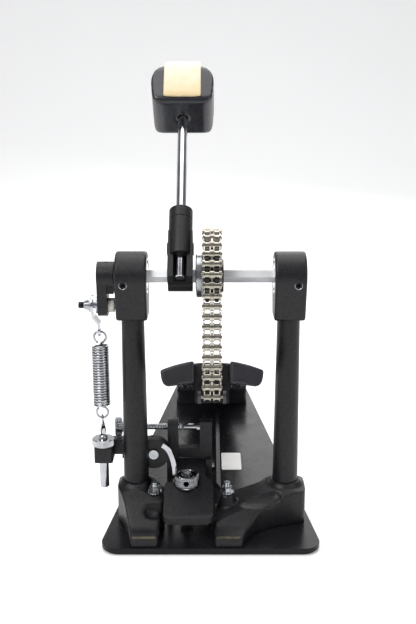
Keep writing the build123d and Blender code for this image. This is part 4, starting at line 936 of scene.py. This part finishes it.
@dataclass
class KnurledNut:
    """A turned nut with a knurled rim, chamfered at both ends, and an optional recess on top."""

    name: str
    node: str
    body: str
    slot: str
    finish: Finish
    axis: tuple[float, float]
    low: float
    height: float
    radius: float
    bore: float
    knurl: Knurl
    count: int
    depth: float
    recess: Optional[tuple[float, float]] = None
    tommy_hole: Optional[tuple[float, float]] = None
    row: float = 0.28
    clear: float = 2.0
    wall: float = 0.8

    def relief(self, angle: float, height: float) -> float:
        """Give how far the knurl sinks at an angle and height, in metres."""
        margin = min(height, self.height * MM - height) / (0.8 * MM)
        fade = max(0.0, min(1.0, margin))
        along = angle * self.count / (2.0 * math.pi)
        if self.knurl is Knurl.STRAIGHT:
            wave = abs((along % 1.0) * 2.0 - 1.0)
            return self.depth * MM * wave * fade
        lift = height / (2.0 * math.pi * self.radius * MM / self.count)
        first = abs(((along + lift) % 1.0) * 2.0 - 1.0)
        second = abs(((along - lift) % 1.0) * 2.0 - 1.0)
        return self.depth * MM * max(first, second) * fade

    def profile(self) -> list[tuple[float, float, bool]]:
        """Give (height, radius, on the rim) triples, from the bore's foot round to the bore's top."""
        outline = [(0.0, self.bore, False), (0.0, self.radius - 0.6, False)]
        rows = max(6, int(self.height / self.row))
        for k in range(rows + 1):
            height = 0.5 + (self.height - 1.0) * k / rows
            outline.append((height, self.radius, True))
        outline.append((self.height, self.radius - 0.7, False))
        if self.recess:
            wide, deep = self.recess
            outline += [(self.height, wide + 0.4, False), (self.height - 0.4, wide, False)]
            outline += [(self.height - deep, wide, False)]
        floor = self.height - (self.recess[1] if self.recess else 0.0)
        outline.append((floor, self.bore, False))
        return outline

    def build(self) -> bpy.types.Object:
        """Turn and knurl the nut.

        Returns:
            The nut.
        """
        base = Vector((self.axis[0], self.axis[1], self.low)) * MM
        steps = self.count * 8
        rings = []
        for height, radius, rim in self.profile():
            relief = self.relief if rim else None
            rings += lathe(base, Vector((0, 0, 1)), [(height * MM, radius * MM)], steps, relief)
        piece = skin(self.name, [(rings, True)], 28.0)
        if self.tommy_hole:
            self.drill(piece, base)
        settle(piece, self.body, self.finish, [self.node])
        # painted shade: the recess and the tommy hole are given black oxide
        self.shade_hollows(piece, base)
        return piece

    def shade_hollows(self, piece: bpy.types.Object, base: Vector) -> None:
        """Paint shade into the recess and the tommy hole: their faces take the black oxide finish, dark
        against the chrome round them.
        """
        piece.data.materials.append(BLACK_OXIDE.build())
        for face in piece.data.polygons:
            spot = (face.center - base) / MM
            if self.in_recess(spot) or self.in_tommy_hole(spot):
                face.material_index = 1

    def in_recess(self, spot: Vector) -> bool:
        """Tell whether a spot, in millimetres from the nut's foot, is inside the recess."""
        if not self.recess:
            return False
        wide, deep = self.recess
        sunk = self.height - deep - 0.1 < spot.z < self.height - 0.3
        return sunk and math.hypot(spot.x, spot.y) < wide

    def in_tommy_hole(self, spot: Vector) -> bool:
        """Tell whether a spot, in millimetres from the nut's foot, is on the tommy hole's wall."""
        if not self.tommy_hole:
            return False
        radius, height = self.tommy_hole
        near = math.hypot(spot.x, spot.z - height) < radius + 0.05
        inside = math.hypot(spot.x, spot.y) < self.radius - self.depth - 0.15
        return near and inside and spot.y < 0.0

    def drill(self, piece: bpy.types.Object, base: Vector) -> None:
        """Cut the radial hole that takes a tommy bar, at the drum side."""
        radius, height = self.tommy_hole
        start = base + Vector((0.0, -self.radius - self.clear, height)) * MM
        length = self.radius + self.clear - self.bore - self.wall
        bar = [(0.0, radius * MM), (length * MM, radius * MM)]
        cutter = skin("tommy_bar", [(lathe(start, Vector((0, 1, 0)), bar, 28), False)])
        cut = piece.modifiers.new("tommy_hole", "BOOLEAN")
        cut.object = cutter
        cut.solver = "EXACT"
        bpy.context.view_layer.update()
        graph = bpy.context.evaluated_depsgraph_get()
        drilled = bpy.data.meshes.new_from_object(piece.evaluated_get(graph))
        piece.modifiers.clear()
        piece.data = drilled
        piece.data.shade_smooth()
        piece.data.set_sharp_from_angle(angle=math.radians(28.0))
        bpy.data.objects.remove(cutter)


@dataclass
class AdjusterRod:
    """Plated sleeve with a flat strap that twists a quarter turn up to the eye for the spring."""

    x: float = -88.0
    sleeve: tuple[float, float, float] = (32.0, 78.0, 3.8)
    eye_z: float = 92.8
    eye_radius: float = 2.9
    eye_hole: float = 1.3
    half_width: float = 2.4
    half_thick: float = 0.75
    strap_steps: int = 32
    strap_corners: int = 20
    squareness: float = 0.4

    def squared(self, value: float) -> float:
        """Push a sine or cosine towards 1, so that a ring of points becomes a soft oblong."""
        return math.copysign(abs(value) ** self.squareness, value)

    def strap(self) -> list[Ring]:
        """Give the strap's rings, from the sleeve up to the eye."""
        low, high = self.sleeve[1] - 1.0, self.eye_z - self.eye_hole - 0.3
        rings = []
        for k in range(self.strap_steps + 1):
            share = k / self.strap_steps
            turn = math.radians(90.0) * (3.0 * share ** 2 - 2.0 * share ** 3)
            height = low + (high - low) * share
            ring = []
            for corner in range(self.strap_corners):
                angle = 2.0 * math.pi * corner / self.strap_corners
                wide = self.half_width * self.squared(math.cos(angle))
                deep = self.half_thick * self.squared(math.sin(angle))
                across = wide * math.cos(turn) - deep * math.sin(turn)
                along = wide * math.sin(turn) + deep * math.cos(turn)
                ring.append(Vector((self.x + across, along, height)) * MM)
            rings.append(ring)
        return rings

    def eye(self) -> list[Ring]:
        """Give the flat ring at the strap's top, bored along X."""
        base = Vector((self.x - self.half_thick, 0.0, self.eye_z)) * MM
        thick, soft = 2.0 * self.half_thick, 0.25
        profile = [
            (0.0, self.eye_hole + soft), (0.0, self.eye_radius - soft), (soft, self.eye_radius),
            (thick - soft, self.eye_radius), (thick, self.eye_radius - soft),
            (thick, self.eye_hole + soft), (thick - soft, self.eye_hole), (soft, self.eye_hole),
        ]
        return lathe(base, Vector((1, 0, 0)), [(h * MM, r * MM) for h, r in profile], 36)

    def build(self) -> bpy.types.Object:
        """Make sleeve, strap and eye as one piece.

        Returns:
            The adjuster rod.
        """
        low, top, radius = self.sleeve
        base = Vector((self.x, 0.0, low)) * MM
        length = top - low
        profile = [
            (0.0, radius - 0.7), (0.7, radius), (length - 1.6, radius),
            (length - 0.6, radius - 0.5), (length, radius - 1.3),
        ]
        body = lathe(base, Vector((0, 0, 1)), [(h * MM, r * MM) for h, r in profile], 40)
        parts = [(body, False), (self.strap(), False), (self.eye(), True)]
        piece = skin("adjuster_rod_twisted", parts)
        return settle(piece, "adjuster", CHROME, ["spring_adjust_rod"])


@dataclass
class PivotTrim:
    """Nylon bushing round the pivot bolt's head, and the bolt's blackened tip."""

    pivot_z: float = 187.3
    bushing: tuple[float, float, float] = (-80.6, -75.5, 5.7)
    tip: tuple[float, float, float] = (-103.9, -99.5, 2.6)

    def build(self) -> None:
        """Make both pieces."""
        for name, span, finish, slot in (
            ("pivot_bushing", self.bushing, NYLON, "beater_plastic"),
            ("pivot_bolt_tip", self.tip, BLACK_OXIDE, "black_steel"),
        ):
            low, high, radius = span
            length, soft = high - low, 0.6
            profile = [
                (0.0, radius - soft), (0.2, radius - 0.2), (soft, radius), (length - soft, radius),
                (length - 0.2, radius - 0.2), (length, radius - soft),
            ]
            base = Vector((low, 0.0, self.pivot_z)) * MM
            rings = lathe(base, Vector((1, 0, 0)), [(h * MM, r * MM) for h, r in profile], 40)
            settle(skin(name, [(rings, False)]), "drive", finish)


# ---------------------------------------------------------------- beater
@dataclass
class FeltStrip:
    """Felt wrapped over the beater's strike face, softly swollen at its rims."""

    centre_along: float = 167.0
    lean: float = 42.0
    offset: float = 13.6
    axle_z: float = 211.0
    x: float = -23.5
    width: float = 31.0
    thick: float = 3.42
    half_depth: float = 22.5
    half_height: float = 23.0
    top_radius: float = 14.0
    back: float = 4.0
    foot: float = -19.0
    steps: int = 16
    back_steps: int = 6

    def place(self, across: float, strike: float, up: float) -> Vector:
        """Turn head coordinates into the frame's, in metres."""
        lean = math.radians(self.lean)
        along = self.centre_along + up
        forward = self.offset + strike
        y = -forward * math.cos(lean) + along * math.sin(lean)
        z = self.axle_z + forward * math.sin(lean) + along * math.cos(lean)
        return Vector((self.x + across, y, z)) * MM

    def route(self) -> list[tuple[float, float, float, float]]:
        """Give the felt's line on the head: (strike, up) and its outward direction."""
        line = []
        rise = self.half_height - self.top_radius - self.foot
        for k in range(self.steps + 1):
            line.append((self.half_depth, self.foot + rise * k / self.steps, 1.0, 0.0))
        for k in range(1, self.steps + 1):
            angle = math.radians(90.0 * k / self.steps)
            line.append((
                self.half_depth - self.top_radius + self.top_radius * math.cos(angle),
                self.half_height - self.top_radius + self.top_radius * math.sin(angle),
                math.cos(angle), math.sin(angle),
            ))
        flat = self.half_depth - self.top_radius
        for k in range(1, self.back_steps + 1):
            strike = flat + (self.back - flat) * k / self.back_steps
            line.append((strike, self.half_height, 0.0, 1.0))
        return line

    def build(self) -> bpy.types.Object:
        """Make the strip with rounded, slightly uneven rims.

        Returns:
            The felt.
        """
        chance = random.Random(SEED)
        half = self.width / 2
        section = [
            (-half + 0.35, 0.02), (-half, 0.8), (-half + 0.25, self.thick - 1.0),
            (-half + 1.4, self.thick - 0.25), (-half * 0.55, self.thick), (0.0, self.thick),
            (half * 0.55, self.thick), (half - 1.4, self.thick - 0.25),
            (half - 0.25, self.thick - 1.0), (half, 0.8), (half - 0.35, 0.02), (0.0, 0.02),
        ]
        rings = []
        line = self.route()
        for k, (strike, up, out_strike, out_up) in enumerate(line):
            end = min(k, len(line) - 1 - k)
            taper = min(1.0, 0.62 + 0.2 * end)
            ring = []
            for across, lift in section:
                nap = chance.uniform(-0.12, 0.04) if lift > 0.5 else 0.0
                rise = lift * taper + nap
                side = across * (1.0 if end > 0 else 0.985)
                ring.append(self.place(side, strike + out_strike * rise, up + out_up * rise))
            rings.append(ring)
        piece = skin("felt_strip", [(rings, False)], 75.0)
        smooth = piece.modifiers.new("rounding", "SUBSURF")
        smooth.levels = 2
        smooth.render_levels = 2
        return settle(piece, "beater", FELT, ["beater_felt"])


# ---------------------------------------------------------------- small parts with no CAD node
@dataclass
class BaseLabel:
    """Blank sticker on the base plate beside the rib, with rounded corners."""

    low: tuple[float, float] = (10.4, 87.0)
    high: tuple[float, float] = (29.0, 125.0)
    plate_top: float = 6.0
    thick: float = 0.25
    corner: float = 1.6
    corner_steps: int = 6
    soft: float = 0.08

    def build(self) -> bpy.types.Object:
        """Make the sticker.

        Returns:
            The label.
        """
        outline = []
        centres = [
            (self.high[0] - self.corner, self.high[1] - self.corner, 0),
            (self.low[0] + self.corner, self.high[1] - self.corner, 90),
            (self.low[0] + self.corner, self.low[1] + self.corner, 180),
            (self.high[0] - self.corner, self.low[1] + self.corner, 270),
        ]
        for x, y, start in centres:
            for k in range(self.corner_steps + 1):
                angle = math.radians(start + 90.0 * k / self.corner_steps)
                outline.append((x + self.corner * math.cos(angle), y + self.corner * math.sin(angle)))
        rings = []
        middle = [(a + b) / 2.0 for a, b in zip(self.low, self.high)]
        edges = ((0.01, 0.0), (self.thick - self.soft, 0.0), (self.thick, self.soft))
        for height, inset in edges:
            ring = []
            for x, y in outline:
                away = Vector((x - middle[0], y - middle[1])).normalized() * inset
                ring.append(Vector((x - away.x, y - away.y, self.plate_top + height)) * MM)
            rings.append(ring)
        piece = skin("base_label_blank", [(rings, False)])
        return settle(piece, "frame", LABEL_PAPER)


@dataclass
class SetScrewBezels:
    """Bright pressed rings round the set screw holes in the housings' fronts."""

    x: float = 67.0
    z: float = 207.0
    front: float = -18.5
    hole: float = 2.55
    rim: float = 0.7

    def build(self) -> None:
        """Make one ring on each housing."""
        for side, word in ((-1, "left"), (1, "right")):
            base = Vector((side * self.x, self.front + 0.6, self.z)) * MM
            profile = [
                (0.0, self.hole), (0.0, self.hole + self.rim), (0.75, self.hole + self.rim),
                (1.0, self.hole + self.rim * 0.7), (1.05, self.hole + self.rim * 0.4),
                (0.85, self.hole + 0.05),
            ]
            rings = lathe(base, Vector((0, -1, 0)), [(h * MM, r * MM) for h, r in profile], 40)
            piece = skin(f"set_screw_bezel_{word}", [(rings, True)])
            settle(piece, "frame", ZINC)


# ---------------------------------------------------------------- studio
@dataclass(frozen=True)
class Softbox:
    """A square soft light that faces the pedal's middle."""

    name: str
    place: Point
    size: float
    power: float
    aim: Point = (0.0, 0.05, 0.12)

    def build(self) -> None:
        """Make the light."""
        lamp = bpy.data.lights.new(self.name, "AREA")
        lamp.size = self.size
        lamp.energy = self.power
        light = bpy.data.objects.new(self.name, lamp)
        bpy.context.scene.collection.objects.link(light)
        light.location = self.place
        towards = Vector(self.aim) - Vector(self.place)
        light.rotation_euler = towards.to_track_quat("-Z", "Y").to_euler()


SOFTBOXES = (
    Softbox("key_softbox", (-0.9, -1.0, 1.5), 1.0, 20.0),
    Softbox("fill_softbox", (1.2, -0.9, 0.9), 0.9, 6.0),
    Softbox("top_softbox", (0.0, 0.35, 1.6), 1.6, 22.0),
    Softbox("back_softbox", (0.35, 1.25, 0.8), 1.0, 6.0),
)


@dataclass
class Studio:
    """Plain pale sweep, soft lights and the camera."""

    camera_place: Point = (0.0, -0.661, 0.355)
    camera_tilt: float = 75.3
    lens: float = 50.0
    sensor: float = 36.0
    shift_x: float = -0.0043
    clip_start: float = 0.01
    half_width: float = 4.0
    front: float = -3.0
    cove_start: float = 1.2
    cove_radius: float = 1.2
    cove_steps: int = 12
    wall_top: float = 4.0
    sink: float = 0.0002
    surround: str = "#f4f6fa"
    surround_strength: float = 0.26

    def build(self) -> None:
        """Make the sweep, the lights, the world and the camera."""
        self.make_sweep()
        for softbox in SOFTBOXES:
            softbox.build()
        self.make_surround()
        self.make_camera()
        bpy.context.scene.view_settings.view_transform = "Standard"

    def make_camera(self) -> None:
        """Make the camera, at the drum's side of the pedal."""
        camera = bpy.data.objects.new("camera", bpy.data.cameras.new("camera"))
        bpy.context.scene.collection.objects.link(camera)
        camera.location = self.camera_place
        camera.rotation_euler = (math.radians(self.camera_tilt), 0.0, 0.0)
        camera.data.lens = self.lens
        camera.data.sensor_width = self.sensor
        camera.data.shift_x = self.shift_x
        camera.data.clip_start = self.clip_start
        bpy.context.scene.camera = camera

    def make_sweep(self) -> None:
        """Make the floor, which curves up behind into a wall."""
        rows = [(self.front, 0.0), (self.cove_start, 0.0)]
        for k in range(1, self.cove_steps + 1):
            angle = math.radians(90.0 * k / self.cove_steps)
            along = self.cove_start + self.cove_radius * math.sin(angle)
            rows.append((along, self.cove_radius * (1.0 - math.cos(angle))))
        rows.append((self.cove_start + self.cove_radius, self.wall_top))
        points, faces = [], []
        for y, z in rows:
            points += [Vector((side * self.half_width, y, z - self.sink)) for side in (-1, 1)]
        for k in range(0, len(points) - 2, 2):
            faces.append([k, k + 1, k + 3, k + 2])
        sweep = new_piece("studio_sweep", points, faces, 60.0)
        dress(sweep, STUDIO_FLOOR)

    def make_surround(self) -> None:
        """Make the even pale surround."""
        world = bpy.data.worlds.new("soft_surround")
        world.use_nodes = True
        light = world.node_tree.nodes["Background"]
        light.inputs["Color"].default_value = linear(self.surround)
        light.inputs["Strength"].default_value = self.surround_strength
        bpy.context.scene.world = world


# ---------------------------------------------------------------- the pedal
# The memory lock is domed on top.
LOCK_DOME = EdgeRound((0.0, 0.669, 0.743), 2.4)


@dataclass
class Pedal:
    """The whole pedal, built sub-assembly by sub-assembly."""

    frame: dict[str, Any]

    def softened(self) -> list[SoftenedPart]:
        """List the CAD nodes that are shown with their edges broken."""
        parts = [
            SoftenedPart("base_plate", GLOSS_ENAMEL, "base_black", 0.5),
            SoftenedPart("base_rubber", RUBBER, "rubber", 0.3),
            SoftenedPart("jaw_pad", RUBBER, "rubber", 0.3),
            SoftenedPart("hex_axle", DRAWN_BAR, "bearing_steel", 0.25),
            SoftenedPart("spring_hanger", CHROME, "chrome", 0.25),
            SoftenedPart("clamp_lever", CHROME, "chrome", 0.2),
            SoftenedPart("memory_lock", POWDER_COAT, "cast_black", 0.5, rounds=[LOCK_DOME]),
            SoftenedPart("heel_plate", SATIN_BOARD, "board_black", 0.6),
            SoftenedPart("sprocket_collar", TURNED_COLLAR, "chrome", 0.2),
        ]
        coated = ("spring_arm", "clamp_jaw", "spring_rocker", "beater_holder", "clamp_bracket",
                  "left_housing", "right_housing", "left_post", "right_post")
        return parts + [SoftenedPart(name, POWDER_COAT, "cast_black", 0.5) for name in coated]

    def moulded(self) -> list[MouldedPart]:
        """List the CAD nodes that are shown as flowing mouldings and castings."""
        feet = [
            MouldedPart("left_foot", LEFT_TOE, "cast_black", 0.9, 7, CollarFall(-61.5, -45.6), 6.4),
            MouldedPart("right_foot", RIGHT_TOE, "cast_black", 0.9, 7, CollarFall(61.5, 13.4), 6.4),
        ]
        return feet + [
            MouldedPart("footboard", SATIN_BOARD, "board_black", 1.1, 4, WingTurn()),
            MouldedPart("beater_head", MOULDED_ABS, "beater_plastic", 1.0, 14),
        ]

    def dressed(self) -> list[DressedNodes]:
        """List the CAD nodes that keep their shape, by finish."""
        return [
            DressedNodes(["chain_wrap", "chain_link_1", "chain_link_2", "chain_link_3", "chain_fall"],
                         CHAIN_NICKEL),
            DressedNodes(["sprocket", "chain_clevis"], SPROCKET_COAT),
            DressedNodes(["bearing_outer_rings", "bearing_inner_rings", "bearing_balls"], BEARING),
            DressedNodes(["left_spur", "right_spur"], UPRIGHT_THREAD),
            DressedNodes(["spur_nuts", "pivot_bolt", "pivot_nut_and_washers", "clamp_bolt",
                          "jaw_pivot_pin", "hinge_pin", "clevis_screws", "arm_boss_bolt"], ZINC),
            DressedNodes(["beater_rod", "clamp_stop_pin"], CHROME),
            DressedNodes(["wing_bolt"], CROSS_THREAD),
            DressedNodes(["base_screws", "housing_set_screws", "axle_set_screws", "beater_key_bolt",
                          "memory_lock_screw", "spring_arm_screws", "heel_screws",
                          "chain_keeper_screw"], BLACK_OXIDE),
        ]

    def build(self) -> None:
        """Build and dress every piece."""
        for part in self.softened() + self.moulded():
            part.build(self.frame)
        for group in self.dressed():
            group.build(self.frame)
        ReturnSpring().build()
        AdjusterRod().build()
        PivotTrim().build()
        FeltStrip().build()
        BaseLabel().build()
        SetScrewBezels().build()
        KnurledNut(
            name="clamp_nut_knurled", node="clamp_nut", body="jaw_nut", slot="zinc",
            finish=CHROME, axis=(-19.7, -12.0), low=39.6, height=9.0, radius=9.85, bore=3.1,
            knurl=Knurl.DIAMOND, count=54, depth=0.3, recess=(7.4, 2.0), tommy_hole=(2.3, 4.4),
        ).build()
        KnurledNut(
            name="adjuster_nut_knurled", node="spring_adjust_nut", body="adjuster_nut",
            slot="zinc", finish=CHROME, axis=(-88.0, 0.0), low=69.05, height=6.0, radius=9.2,
            bore=3.85, knurl=Knurl.STRAIGHT, count=64, depth=0.3,
        ).build()


def main() -> None:
    """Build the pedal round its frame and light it."""
    logging.basicConfig(level=logging.INFO, format="%(name)s: %(message)s")
    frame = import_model()
    Pedal(frame).build()
    Studio().build()
    bpy.context.view_layer.update()


if __name__ == "__main__":
    main()
